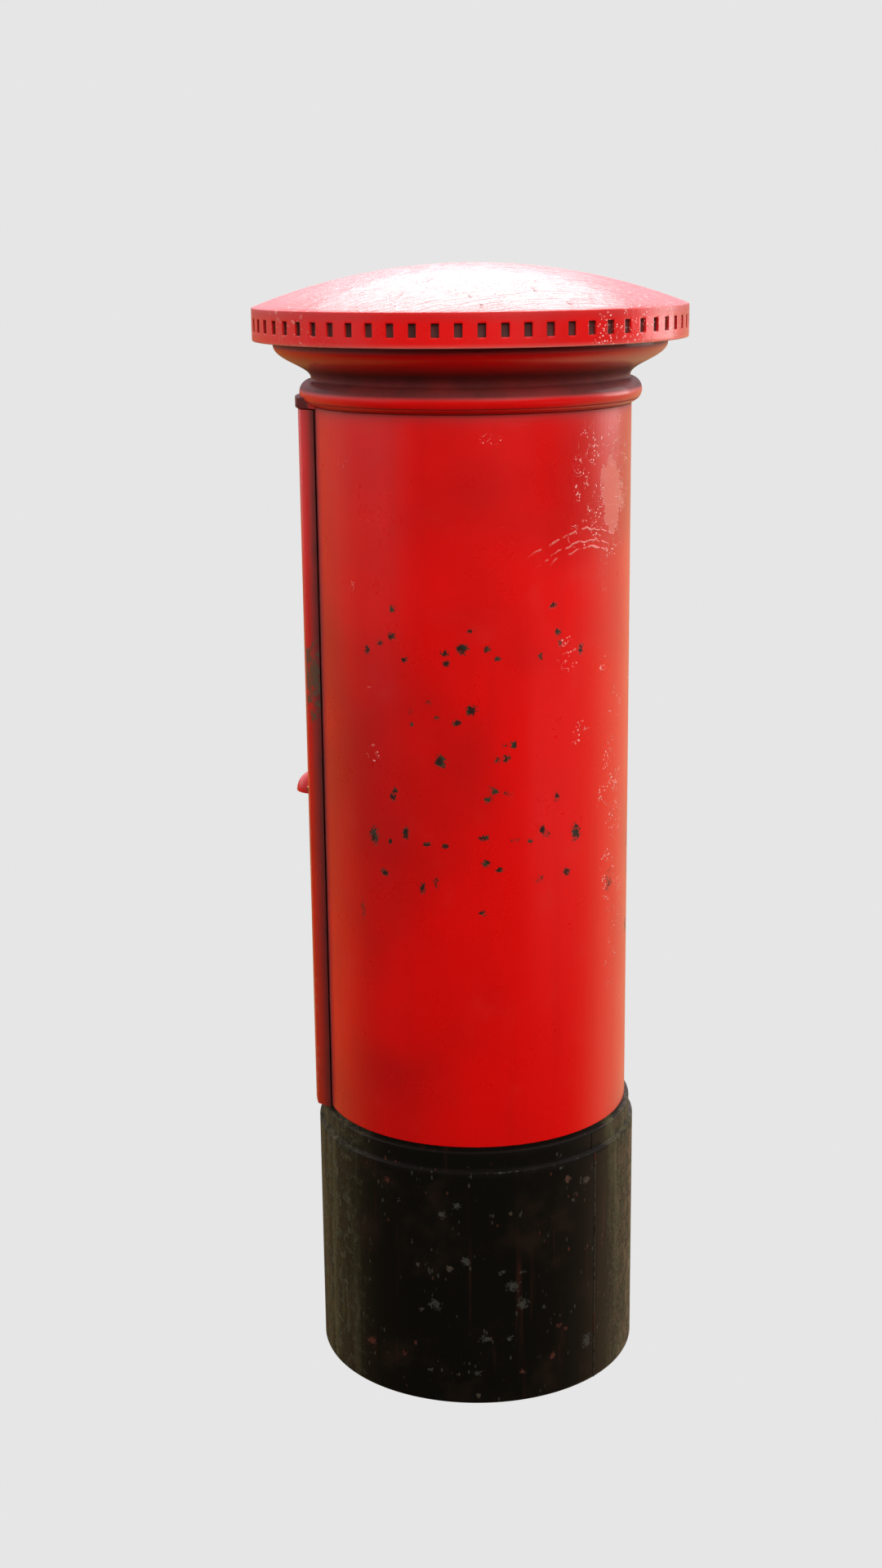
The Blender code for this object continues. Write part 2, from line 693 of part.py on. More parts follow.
def lock_point(y, z):
    """A point on the lock's middle plane, in the part's own frame."""
    angle = math.radians(LOCK_AZIMUTH)
    return (-y * math.sin(angle), y * math.cos(angle), z)


def lock_case():
    """A box open where the bolt leaves it and where the key enters, with an ear above and below."""
    front, back = LOCK_FACE_Y, LOCK_FACE_Y + 0.046
    left, right, half_height, wall = -0.033, 0.062, 0.030, 0.003
    case = block("lock_case", (left, right), (front, back), (LOCK_Z - half_height, LOCK_Z + half_height))
    ear_half_x, ear_reach = 0.012, 0.044
    join(case, block("ears", (-ear_half_x, ear_half_x), (front, front + 0.004),
                     (LOCK_Z - ear_reach, LOCK_Z + ear_reach)))
    inner_half = half_height - wall
    cut(case, block("inside", (left + wall, right - wall), (front + wall, back - wall),
                    (LOCK_Z - inner_half, LOCK_Z + inner_half)))
    play = 2 * GAP
    slot_half = 0.009 + play
    cut(case, block("bolt_slot", (right - 0.007, right + 0.013), (BOLT_Y[0] - play, BOLT_Y[1] + play),
                    (LOCK_Z - slot_half, LOCK_Z + slot_half)))
    cut(case, rod("key_hole", (0.0, front - PAST, LOCK_Z), (0.0, front + PAST, LOCK_Z), 0.0065))
    for z in LOCK_PILLAR_ZS:
        cut(case, rod("hole", (0.0, front - PAST, z), (0.0, front + PAST, z), LOCK_SCREW_HOLE_R, 12))
    return at_lock(case)


def lock_bolt():
    """The bolt's notch takes the spindle's crank pin, which slides it by BOLT_TRAVEL."""
    nose_half, tip_x = 0.009, 0.0965
    bolt = block("lock_bolt", (-0.023, 0.008), BOLT_Y, (LOCK_Z - 0.015, LOCK_Z + 0.020))
    join(bolt, block("nose", (0.002, tip_x), BOLT_Y, (LOCK_Z - nose_half, LOCK_Z + nose_half)))
    notch_x, notch_half = -BOLT_TRAVEL / 2, 0.0038
    cut(bolt, block("notch", (notch_x - notch_half, notch_x + notch_half), (-0.20, -0.15),
                    (LOCK_Z + 0.004, LOCK_Z + 0.030)))
    return set_origin(at_lock(bolt), lock_point(BOLT_Y[0], LOCK_Z))


def lock_spindle():
    """A spindle that the key turns, with a crank pin that drives the bolt."""
    spindle = rod("lock_spindle", (0.0, -0.228, LOCK_Z), (0.0, -0.185, LOCK_Z), 0.0055)
    join(spindle, rod("wheel", (0.0, -0.193, LOCK_Z), (0.0, -0.183, LOCK_Z), 0.017, 32))
    pin_x, pin_z = -BOLT_TRAVEL / 2, LOCK_Z + BOLT_TRAVEL / 2
    join(spindle, rod("pin", (pin_x, -0.188, pin_z), (pin_x, -0.167, pin_z), 0.003, 16))
    key_half_t, key_half_h = 0.0012, 0.004
    cut(spindle, block("key_socket", (-key_half_t, key_half_t), (-0.24, -0.216),
                       (LOCK_Z - key_half_h, LOCK_Z + key_half_h)))
    return set_origin(at_lock(spindle), lock_point(-0.193, LOCK_Z))


def key_tube():
    """The liner between the boss and the lock case."""
    front, back = BOSS_Y + GAP, LOCK_FACE_Y - GAP
    tube = rod("key_tube", (0.0, front, LOCK_Z), (0.0, back, LOCK_Z), KEY_TUBE_R)
    return at_lock(cut(tube, rod("bore", (0.0, front - PAST, LOCK_Z), (0.0, back + PAST, LOCK_Z), 0.007)))


def keyhole_cover():
    """A teardrop plate that hangs over the keyhole from a pivot above it."""
    back, front = BOSS_Y - GAP, BOSS_Y - 0.0027
    web_half = 0.0072
    cover = rod("keyhole_cover", (0.0, front, LOCK_Z), (0.0, back, LOCK_Z), 0.012, 32)
    join(cover, rod("eye", (0.0, front, COVER_PIVOT_Z), (0.0, back, COVER_PIVOT_Z), 0.008))
    join(cover, block("web", (-web_half, web_half), (front, back), (LOCK_Z, COVER_PIVOT_Z)))
    hole = rod("hole", (0.0, front - PAST, COVER_PIVOT_Z), (0.0, back + PAST, COVER_PIVOT_Z),
               LOCK_SCREW_HOLE_R, 16)
    cut(cover, hole)
    return set_origin(at_lock(cover), lock_point(BOSS_Y, COVER_PIVOT_Z))


def wire_guard():
    """The gate of bars behind the door that keeps the letters in."""
    low, high = GUARD_Z
    right = -GUARD_X
    frame_y = (GUARD_Y - 0.003, GUARD_Y + 0.003)
    bar_y = (GUARD_Y - 0.0015, GUARD_Y + 0.0015)
    rung_y = (GUARD_Y - 0.002, GUARD_Y + 0.002)
    frame_width, bar_half, rod_reach = 0.008, 0.002, 0.020
    guard = rod("wire_guard", (GUARD_X, GUARD_Y, low - rod_reach), (GUARD_X, GUARD_Y, high + rod_reach),
                GUARD_ROD_R, 16)
    for z in (low, high - frame_width):
        join(guard, block("rail", (GUARD_X, right), frame_y, (z, z + frame_width)))
    join(guard, block("stile", (right - frame_width, right), frame_y, (low + 0.001, high - 0.001)))
    for index in range(1, GUARD_BARS + 1):
        x = GUARD_X + (right - GUARD_X) * index / (GUARD_BARS + 1)
        join(guard, block("bar", (x - bar_half, x + bar_half), bar_y, (low + 0.004, high - 0.004)))
    for index in range(1, GUARD_RUNGS + 1):
        z = low + (high - low) * index / (GUARD_RUNGS + 1)
        join(guard, block("rung", (GUARD_X, right - 0.004), rung_y, (z - bar_half, z + bar_half)))
    return set_origin(guard, (GUARD_X, GUARD_Y, low))


def door_screws():
    """The screws of the chute, the pull, the lock case and the keyhole cover."""
    screws = radial_screws("chute_screw", chute_screw_places(), DOOR_IN - 0.0033, True)
    pull_places = [(degrees, PULL_SCREW_Z) for degrees in pull_screw_azimuths()]
    screws += radial_screws("pull_screw", pull_places, DOOR_OUT + PULL_EAR_T + 2 * GAP, False)
    for index, z in enumerate(LOCK_PILLAR_ZS, 1):
        seat = (0.0, LOCK_FACE_Y + 0.004 + GAP, z)
        screws.append(at_lock(round_screw(f"lock_screw_{index}", LOCK_SCREW, seat, (0, -1, 0))))
    pivot_seat = (0.0, BOSS_Y - 0.0030, COVER_PIVOT_Z)
    screws.append(at_lock(round_screw("cover_pivot_screw", COVER_SCREW, pivot_seat, (0, 1, 0))))
    return screws


def build():
    clear_scene()
    red = material("red_paint", (0.45, 0.02, 0.015), 0.30, 0.0)
    black = material("black_paint", (0.012, 0.012, 0.010), 0.45, 0.0)
    steel = material("dull_steel", (0.35, 0.34, 0.32), 0.45, 1.0)
    galvanised = material("galvanised_sheet", (0.45, 0.46, 0.46), 0.50, 1.0)
    brass = material("brass", (0.55, 0.38, 0.14), 0.35, 1.0)
    enamel = material("white_enamel", (0.80, 0.80, 0.76), 0.25, 0.0)
    glazing = material("clear_window", (0.85, 0.88, 0.88), 0.05, 0.0)

    finished(base_casting(), black)
    for casting in (carcase(), cornice(), cap()):
        finished(casting, red)
    finished(floor_plate(), galvanised)
    for fastener in fixed_fasteners():
        finished(fastener, steel)

    leaf = finished(door_leaf(), red)
    pull = finished(door_pull(), red)
    chute = finished(letter_chute(), galvanised)
    case = finished(lock_case(), steel)
    tube = finished(key_tube(), brass)
    plate_back = NOTICE_POCKET["y"] - GAP
    window_back = plate_back - PLATE_T - GAP
    notice = finished(inlay("notice_plate", NOTICE_POCKET, plate_back, PLATE_T), enamel)
    window = finished(inlay("notice_window", NOTICE_POCKET, window_back, WINDOW_T), glazing)
    tablet = finished(inlay("day_tablet", TABLET_POCKET, TABLET_POCKET["y"] - GAP, TABLET_T), enamel)
    screws = [finished(screw, brass) for screw in door_screws()]

    bolt = finished(lock_bolt(), steel)
    spindle = finished(lock_spindle(), steel)
    cover = finished(keyhole_cover(), brass)
    guard = finished(wire_guard(), galvanised)

    door_axis = axis_empty("door_axis", (HINGE_X, HINGE_Y, 0.0))
    ride_on(door_axis, leaf, pull, chute, case, tube, notice, window, tablet, bolt, spindle, cover)
    ride_on(door_axis, *screws)
    guard_axis = axis_empty("guard_axis", (GUARD_X, GUARD_Y, 0.0))
    ride_on(guard_axis, guard)


build()
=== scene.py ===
"""The looks of a cast-iron pillar box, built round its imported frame."""

import json
import math
import random

import bmesh
import bpy
import numpy as np
from mathutils import Matrix, Vector


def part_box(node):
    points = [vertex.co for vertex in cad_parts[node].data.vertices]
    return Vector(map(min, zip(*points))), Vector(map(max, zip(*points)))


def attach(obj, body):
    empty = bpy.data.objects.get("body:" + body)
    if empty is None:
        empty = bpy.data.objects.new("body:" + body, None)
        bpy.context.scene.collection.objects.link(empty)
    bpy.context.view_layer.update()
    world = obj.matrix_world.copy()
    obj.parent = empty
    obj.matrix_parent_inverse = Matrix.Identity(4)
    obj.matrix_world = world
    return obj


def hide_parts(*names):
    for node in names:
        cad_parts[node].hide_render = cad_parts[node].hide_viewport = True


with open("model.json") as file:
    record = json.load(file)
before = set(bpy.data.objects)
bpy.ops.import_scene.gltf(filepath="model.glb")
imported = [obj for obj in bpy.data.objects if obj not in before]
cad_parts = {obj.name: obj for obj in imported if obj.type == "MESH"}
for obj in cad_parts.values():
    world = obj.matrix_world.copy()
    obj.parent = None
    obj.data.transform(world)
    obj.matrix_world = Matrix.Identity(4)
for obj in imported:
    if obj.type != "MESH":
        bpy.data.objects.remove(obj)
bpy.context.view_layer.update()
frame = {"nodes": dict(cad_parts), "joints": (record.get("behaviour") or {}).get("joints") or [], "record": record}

# Sizes read from the frame, in metres

JOINTS = {joint["name"]: joint for joint in frame["joints"]}


def low(node, axis):
    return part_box(node)[0][axis]


def high(node, axis):
    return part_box(node)[1][axis]


BODY_R = high("carcase", 0)
BODY_Z0, BODY_Z1 = low("carcase", 2), high("carcase", 2)
WALL = 0.012
INNER_R = BODY_R - WALL
FLANGE_R = 0.176
FLANGE_T = 0.014
GAP = 0.0003
DOORWAY_HALF_X = 0.175
DOORWAY_Z = (0.420, 1.405)

# Rings of bolts: radius of the ring, how many, degrees of the first, and radius of a hole
BASE_BOLTS = (0.200, 6, 30.0, 0.0063)
CORNICE_BOLTS = (0.196, 4, 45.0, 0.0053)
CAP_BOLTS = (0.228, 4, 45.0, 0.0053)

BASE_R = high("base_casting", 0)
BASE_TOP_Z = 0.365
STEP_R = 0.2317
STEP_TOP_Z = 0.393
NECK_R = BODY_R - 0.002
FOOT_R = 0.190
FOOT_T = 0.020
BASE_WALL_R = 0.2165
JOINT_LINE = 46.5  # degrees from the street side to where the halves of the base meet

CORNICE_Z0, CORNICE_Z1 = BODY_Z1 + GAP, high("cornice", 2)
CORNICE_R = high("cornice", 0)
BEAD_R = 0.0173
BEAD_Z = 1.4446
OGEE_Z0 = 1.4635
HOOD_R = 0.2456
HOOD_Z = (low("cornice", 2), 1.4388)
HOOD_HALF_X = 0.193
LIP_R = 0.214
CAP_SEAT_R = 0.248
CROWN_INNER_R = 0.208

RIM_R = high("cap", 0)
RIM_Z0, CAP_TOP_Z = low("cap", 2), high("cap", 2)
RIM_Z1 = RIM_Z0 + 0.0445
DENTILS = 64
DENTIL_SIZE = (0.0107, 0.0055, 0.0176)
DENTIL_Z = 1.538
CAP_INNER_R = 0.286

DOOR_OUT = 0.242
DOOR_IN = 0.227
DOOR_MIDDLE = (DOOR_IN + DOOR_OUT) / 2
DOOR_HALF_X = high("door_leaf", 0)
DOOR_Z0, DOOR_Z1 = low("door_leaf", 2), high("door_leaf", 2)
HINGE_X, HINGE_Y = JOINTS["door_hinge"]["pos_m"][:2]
HINGE_ZS = [(low(f"hinge_pin_{n}", 2) + 0.033) for n in (1, 2, 3)]
KNUCKLE_R = 0.009
KNUCKLE_HALF = 0.014
LUG_NEAR = 0.0145
LUG_FAR = 0.030
PIN_HOLE_R = 0.0043
LOCK_X, LOCK_Y, LOCK_Z = JOINTS["key_turn"]["pos_m"]
LOCK_AZIMUTH = math.degrees(math.atan2(LOCK_X, -LOCK_Y))  # degrees from -Y towards +X
LOCK_PILLAR_ZS = (LOCK_Z - 0.036, LOCK_Z + 0.036)
LOCK_FACE_Y = -0.207
COVER_X, COVER_Y, COVER_Z = JOINTS["cover_swing"]["pos_m"]
BOSS_Y = -math.hypot(COVER_X, COVER_Y)
SLOT_HALF_X = 0.100
SLOT_Z = (1.291, 1.329)
GUARD_X, GUARD_Y = JOINTS["guard_hinge"]["pos_m"][:2]
GUARD_Z = (low("wire_guard", 2) + 0.020, high("wire_guard", 2) - 0.020)
GUARD_PIVOT_R = 0.004
GUARD_FRAME_R = 0.0036
GUARD_WIRE_R = 0.0018
GUARD_WIRES = 7
GUARD_RUNGS = 6
PULL_AZIMUTH = 23.0
PULL_Z = low("door_pull", 2)
PULL_HALF_SIZE = (0.030, 0.033, 0.031)
PULL_SCREW_Z = PULL_Z + 0.009
PULL_SCREW_AT = 8.5  # degrees either side of the pull's middle
CHUTE_SCREW_AT = 30.6
CHUTE_SCREW_ZS = (1.2625, 1.3375)
SCREW_HOLE_R = 0.0023
LOCK_HOLE_R = 0.0028

CAMERA_AZIMUTH = 129.375  # degrees from -Y towards +X
STREET_SIDE = CAMERA_AZIMUTH - 90.0  # the same direction measured from +X

# Mesh tools

SHARP_ANGLE = 40.0  # edges sharper than this are rounded
FRONT = (-0.35, -0.05)  # y from outside the box to well inside its front


def solid(name, bm):
    bmesh.ops.recalc_face_normals(bm, faces=bm.faces)
    mesh = bpy.data.meshes.new(name)
    bm.to_mesh(mesh)
    bm.free()
    obj = bpy.data.objects.new(name, mesh)
    bpy.context.collection.objects.link(obj)
    return obj


def even_angles(count):
    return [math.tau * index / count for index in range(count)]


def dense_angles(half_span=66.0, fine=0.75, coarse=3.0):
    """Angles about Z, close together on the street side."""
    angles = []
    steps = int(2 * half_span / fine)
    for index in range(steps + 1):
        angles.append(STREET_SIDE - half_span + fine * index)
    rest = 360.0 - 2 * half_span
    count = int(rest / coarse)
    for index in range(1, count):
        angles.append(STREET_SIDE + half_span + rest * index / count)
    return [math.radians(angle) for angle in angles]


def turned(name, outline, angles):
    """Turn a (radius, height) outline about Z; an outline off the axis is closed first."""
    bm = bmesh.new()
    closed = min(radius for radius, _ in outline) > 0
    columns = []
    poles = {}
    for angle in angles:
        column = []
        for index, (radius, height) in enumerate(outline):
            if radius == 0 and index in poles:
                column.append(poles[index])
                continue
            vert = bm.verts.new((radius * math.cos(angle), radius * math.sin(angle), height))
            if radius == 0:
                poles[index] = vert
            column.append(vert)
        columns.append(column)
    count = len(outline)
    for side, column in enumerate(columns):
        other = columns[(side + 1) % len(columns)]
        for row in range(count if closed else count - 1):
            after = (row + 1) % count
            corners = [column[row], other[row], other[after], column[after]]
            unique = list(dict.fromkeys(corners))
            if len(unique) > 2:
                bm.faces.new(unique)
    return solid(name, bm)


def ring(name, inner, outer, z, angles):
    return turned(name, [(inner, z[0]), (outer, z[0]), (outer, z[1]), (inner, z[1])], angles)


def block(name, x, y, z, bevel=0.0):
    centre = Vector(((x[0] + x[1]) / 2, (y[0] + y[1]) / 2, (z[0] + z[1]) / 2))
    size = Matrix.Diagonal((x[1] - x[0], y[1] - y[0], z[1] - z[0], 1.0))
    bm = bmesh.new()
    bmesh.ops.create_cube(bm, size=1.0, matrix=Matrix.Translation(centre) @ size)
    if bevel:
        bmesh.ops.bevel(bm, geom=bm.edges, offset=bevel, segments=2, profile=0.5, affect="EDGES")
    return solid(name, bm)


def rod(name, start, end, radius, segments=32, bevel=0.0):
    start, end = Vector(start), Vector(end)
    span = end - start
    turn = span.to_track_quat("Z", "Y").to_matrix().to_4x4()
    bm = bmesh.new()
    bmesh.ops.create_cone(
        bm, cap_ends=True, segments=segments, radius1=radius, radius2=radius,
        depth=span.length, matrix=Matrix.Translation((start + end) / 2) @ turn,
    )
    if bevel:
        rims = [edge for edge in bm.edges if any(len(face.verts) > 4 for face in edge.link_faces)]
        bmesh.ops.bevel(bm, geom=rims, offset=bevel, segments=2, profile=0.5, affect="EDGES")
    return solid(name, bm)


def applied(obj):
    """The mesh that the object's modifiers give; the modifiers go."""
    graph = bpy.context.evaluated_depsgraph_get()
    mesh = bpy.data.meshes.new_from_object(obj.evaluated_get(graph))
    obj.modifiers.clear()
    return mesh


def combine(target, tool, operation):
    modifier = target.modifiers.new("shape", "BOOLEAN")
    modifier.operation = operation
    modifier.solver = "EXACT"
    modifier.object = tool
    mesh = applied(target)
    bm = bmesh.new()
    bm.from_mesh(mesh)
    bmesh.ops.remove_doubles(bm, verts=bm.verts, dist=2e-5)
    bmesh.ops.dissolve_degenerate(bm, edges=bm.edges, dist=1e-5)
    bm.to_mesh(mesh)
    bm.free()
    target.data = mesh
    bpy.data.objects.remove(tool)
    return target


def cut(target, *tools):
    for tool in tools:
        combine(target, tool, "DIFFERENCE")
    return target


def join(target, *tools):
    for tool in tools:
        combine(target, tool, "UNION")
    return target


def keep(target, tool):
    return combine(target, tool, "INTERSECT")


def gathered(name, *pieces):
    """Put separate closed shapes into one object without changing them."""
    bm = bmesh.new()
    for piece in pieces:
        bm.from_mesh(piece.data)
        bpy.data.objects.remove(piece)
    return solid(name, bm)


def turn_about_z(obj, degrees):
    obj.data.transform(Matrix.Rotation(math.radians(degrees), 4, "Z"))
    return obj


def soften(obj, width, segments=2):
    """Round the sharp edges with real geometry."""
    bevel = obj.modifiers.new("edges", "BEVEL")
    bevel.width = width
    bevel.segments = segments
    bevel.limit_method = "ANGLE"
    bevel.angle_limit = math.radians(SHARP_ANGLE)
    obj.data = applied(obj)
    return obj


def arc(centre, radius, start, end, steps):
    points = []
    for step in range(steps + 1):
        angle = math.radians(start + (end - start) * step / steps)
        points.append((centre[0] + radius * math.cos(angle), centre[1] + radius * math.sin(angle)))
    return points


def around(radius, degrees, height):
    angle = math.radians(degrees)
    return Vector((radius * math.cos(angle), radius * math.sin(angle), height))


def rows(start, end, spacing):
    count = max(1, round(abs(end - start) / spacing))
    return [start + (end - start) * index / count for index in range(count + 1)]


def upright(name, x, y, z, radius, segments=32, bevel=0.0):
    return rod(name, (x, y, z[0]), (x, y, z[1]), radius, segments, bevel)


def radial(name, y, z, degrees, radius, segments=32):
    """A rod along y in front of the axis of the box, then turned about that axis."""
    return turn_about_z(rod(name, (0.0, y[0], z), (0.0, y[1], z), radius, segments), degrees)


def bolt_holes(bolts, z):
    """Cutters for a ring of bolts through the flange whose underside is at z."""
    ring_r, count, first, hole_r = bolts
    holes = []
    for index in range(count):
        x, y, _ = around(ring_r, first + 360.0 * index / count, z)
        holes.append(upright("hole", x, y, (z - 0.005, z + FLANGE_T + 0.005), hole_r, 24))
    return holes


def about(half, middle=0.0):
    """The range that reaches half to either side of the middle."""
    return (middle - half, middle + half)


# Masks: one number at each vertex, which the materials read


def cylinder_places(obj):
    """Degrees from the street side, height, radius and place of each vertex."""
    count = len(obj.data.vertices)
    flat = np.empty(count * 3, np.float32)
    obj.data.vertices.foreach_get("co", flat)
    points = flat.reshape(-1, 3).astype(float)
    degrees = np.degrees(np.arctan2(points[:, 1], points[:, 0])) - STREET_SIDE
    degrees = (degrees + 180.0) % 360.0 - 180.0
    return degrees, points[:, 2], np.hypot(points[:, 0], points[:, 1]), points


def mask(obj, name, values):
    attribute = obj.data.attributes.new(name, "FLOAT", "POINT")
    attribute.data.foreach_set("value", np.clip(values, 0.0, 1.0).astype(np.float32))


def spots(degrees, height, radius, places):
    """Soft round spots: 1 in the middle of each place, 0 from its edge outwards."""
    value = np.zeros(len(degrees))
    for azimuth, z, half_width, half_height in places:
        across = radius * np.radians((degrees - azimuth + 180.0) % 360.0 - 180.0) / half_width
        value = np.maximum(value, 1.0 - np.hypot(across, (height - z) / half_height))
    return np.clip(value, 0.0, 1.0)


def near(value, place, width):
    """1 at the place, fading on both sides of it."""
    return np.exp(-np.abs(value - place) / width)


def smooth(value, start, end):
    t = np.clip((value - start) / (end - start), 0.0, 1.0)
    return t * t * (3 - 2 * t)


def metres(places):
    return [(azimuth, z / 1000, across / 1000, up / 1000) for azimuth, z, across, up in places]


# Chips in the paint: degrees from the street side, then height, half width and half height in
# millimetres. They lie in two loose rows and a few clusters, where the body is knocked most.
BODY_CHIPS = metres([
    (-28.5, 1169, 8, 8), (-29.0, 1131, 10, 10), (29.0, 1171, 10, 9), (30.5, 1134, 9, 8),
    (41.0, 1107, 8, 12), (-39.5, 1108, 9, 12), (-34.0, 1120, 8, 7), (-24.0, 1100, 8, 6),
    (-9.5, 1112, 9, 9), (-9.0, 1098, 9, 8), (-3.4, 1118, 14, 12), (-0.5, 1142, 8, 6), (5.0, 1117, 8, 7),
    (8.5, 1104, 9, 6), (24.0, 1103, 6, 8), (-0.5, 1034, 13, 13), (-6.0, 1016, 12, 8),
    (-11.4, 962, 14, 16), (14.0, 984, 8, 10), (11.5, 966, 9, 10), (-29.5, 906, 9, 9),
    (-28.5, 916, 7, 7), (5.0, 909, 10, 8), (7.5, 920, 9, 8), (30.5, 905, 8, 10), (-38.0, 847, 14, 22),
    (-24.5, 857, 9, 14), (-16.5, 844, 10, 6), (-10.0, 843, 9, 6), (3.7, 855, 13, 8), (25.0, 860, 8, 13),
    (39.0, 849, 14, 21), (4.2, 818, 12, 9), (9.0, 809, 10, 7), (-33.5, 796, 11, 9), (34.5, 794, 11, 10),
    (2.8, 747, 10, 8), (-18.5, 780, 7, 14), (20.0, 846, 7, 5), (-12.5, 1022, 6, 5), (-21.5, 1012, 6, 6),
    (-31.0, 842, 6, 7),
])
# Raised flakes and runs in the paint, where the light glances off them; the red paint colours them pale as painted
# glints
BODY_FLAKES = metres([
    (46.0, 1385, 30, 35), (62.0, 1380, 35, 45), (41.0, 1345, 18, 50), (49.0, 1300, 24, 45),
    (67.0, 1330, 30, 70), (43.0, 1262, 40, 22), (61.0, 1250, 26, 30), (54.0, 1222, 16, 22),
    (52.0, 1190, 12, 26), (35.0, 1100, 22, 30), (52.0, 1085, 18, 24), (62.0, 1020, 26, 30),
    (40.0, 990, 26, 20), (58.0, 930, 22, 50), (63.0, 870, 30, 70), (54.0, 880, 20, 40),
    (57.0, 780, 24, 50), (64.0, 720, 30, 60), (60.0, 640, 22, 50), (-50.0, 1360, 12, 16),
    (-47.0, 1195, 10, 12), (-41.0, 1060, 12, 18), (-38.0, 965, 14, 16), (8.0, 1395, 24, 12),
])
# Patches where a top coat has come off and left a low step
BODY_PATCHES = metres([(59.0, 1312, 48, 82)])
# Light scuffs that don't reach the iron
BODY_SCUFFS = metres([
    (11.0, 985, 12, 10), (8.5, 965, 12, 14), (12.0, 916, 16, 10), (15.0, 848, 14, 10),
    (27.0, 853, 10, 12), (-13.5, 790, 10, 22), (-22.0, 1030, 10, 10), (-15.0, 1045, 12, 8),
    (32.0, 1120, 10, 12), (24.0, 790, 14, 10), (58.0, 760, 20, 34), (-44.0, 735, 10, 30),
    (6.0, 925, 10, 8),
])
DOOR_CHIPS = metres([
    (-86.0, 1150, 8, 16), (-86.5, 1105, 10, 26), (-85.5, 1060, 12, 30), (-86.0, 1020, 10, 22),
    (-84.5, 985, 10, 16), (-83.0, 905, 8, 10), (-84.5, 745, 10, 12), (-85.0, 580, 11, 26),
    (-81.0, 565, 7, 12),
])
BASE_CHIPS = metres([
    (-4.0, 227, 14, 13), (-9.5, 214, 12, 10), (-15.0, 156, 18, 16), (12.5, 185, 20, 16),
    (16.0, 156, 18, 16), (-12.0, 298, 13, 14), (-7.0, 313, 14, 10), (33.5, 337, 14, 12),
    (42.0, 325, 12, 12), (2.5, 104, 18, 13), (11.5, 103, 13, 8), (43.0, 66, 18, 22), (27.5, 62, 11, 12),
    (0.0, 50, 12, 9), (0.5, 14, 10, 8), (-33.0, 338, 11, 8), (-27.0, 68, 11, 10), (-41.0, 70, 18, 16),
    (-17.0, 50, 10, 6), (-7.0, 47, 10, 6), (16.0, 47, 12, 6), (9.0, 208, 12, 8), (16.0, 206, 10, 6),
    (30.0, 108, 12, 8), (33.0, 100, 8, 8), (-2.0, 360, 14, 5), (31.0, 358, 10, 6), (-28.0, 310, 7, 7),
    (12.0, 300, 7, 7), (36.0, 300, 7, 7), (-21.0, 216, 8, 6), (-20.0, 145, 8, 7), (24.0, 143, 8, 7),
])


def scattered(seed, count, skip, z, size):
    """Chips on the sides that the given list leaves out."""
    rng = random.Random(seed)
    places = []
    while len(places) < count:
        azimuth = rng.uniform(-180.0, 180.0)
        if abs(azimuth) < skip:
            continue
        width = rng.uniform(*size)
        places.append((azimuth, rng.uniform(*z), width, width * rng.uniform(0.7, 1.4)))
    return places


# Materials


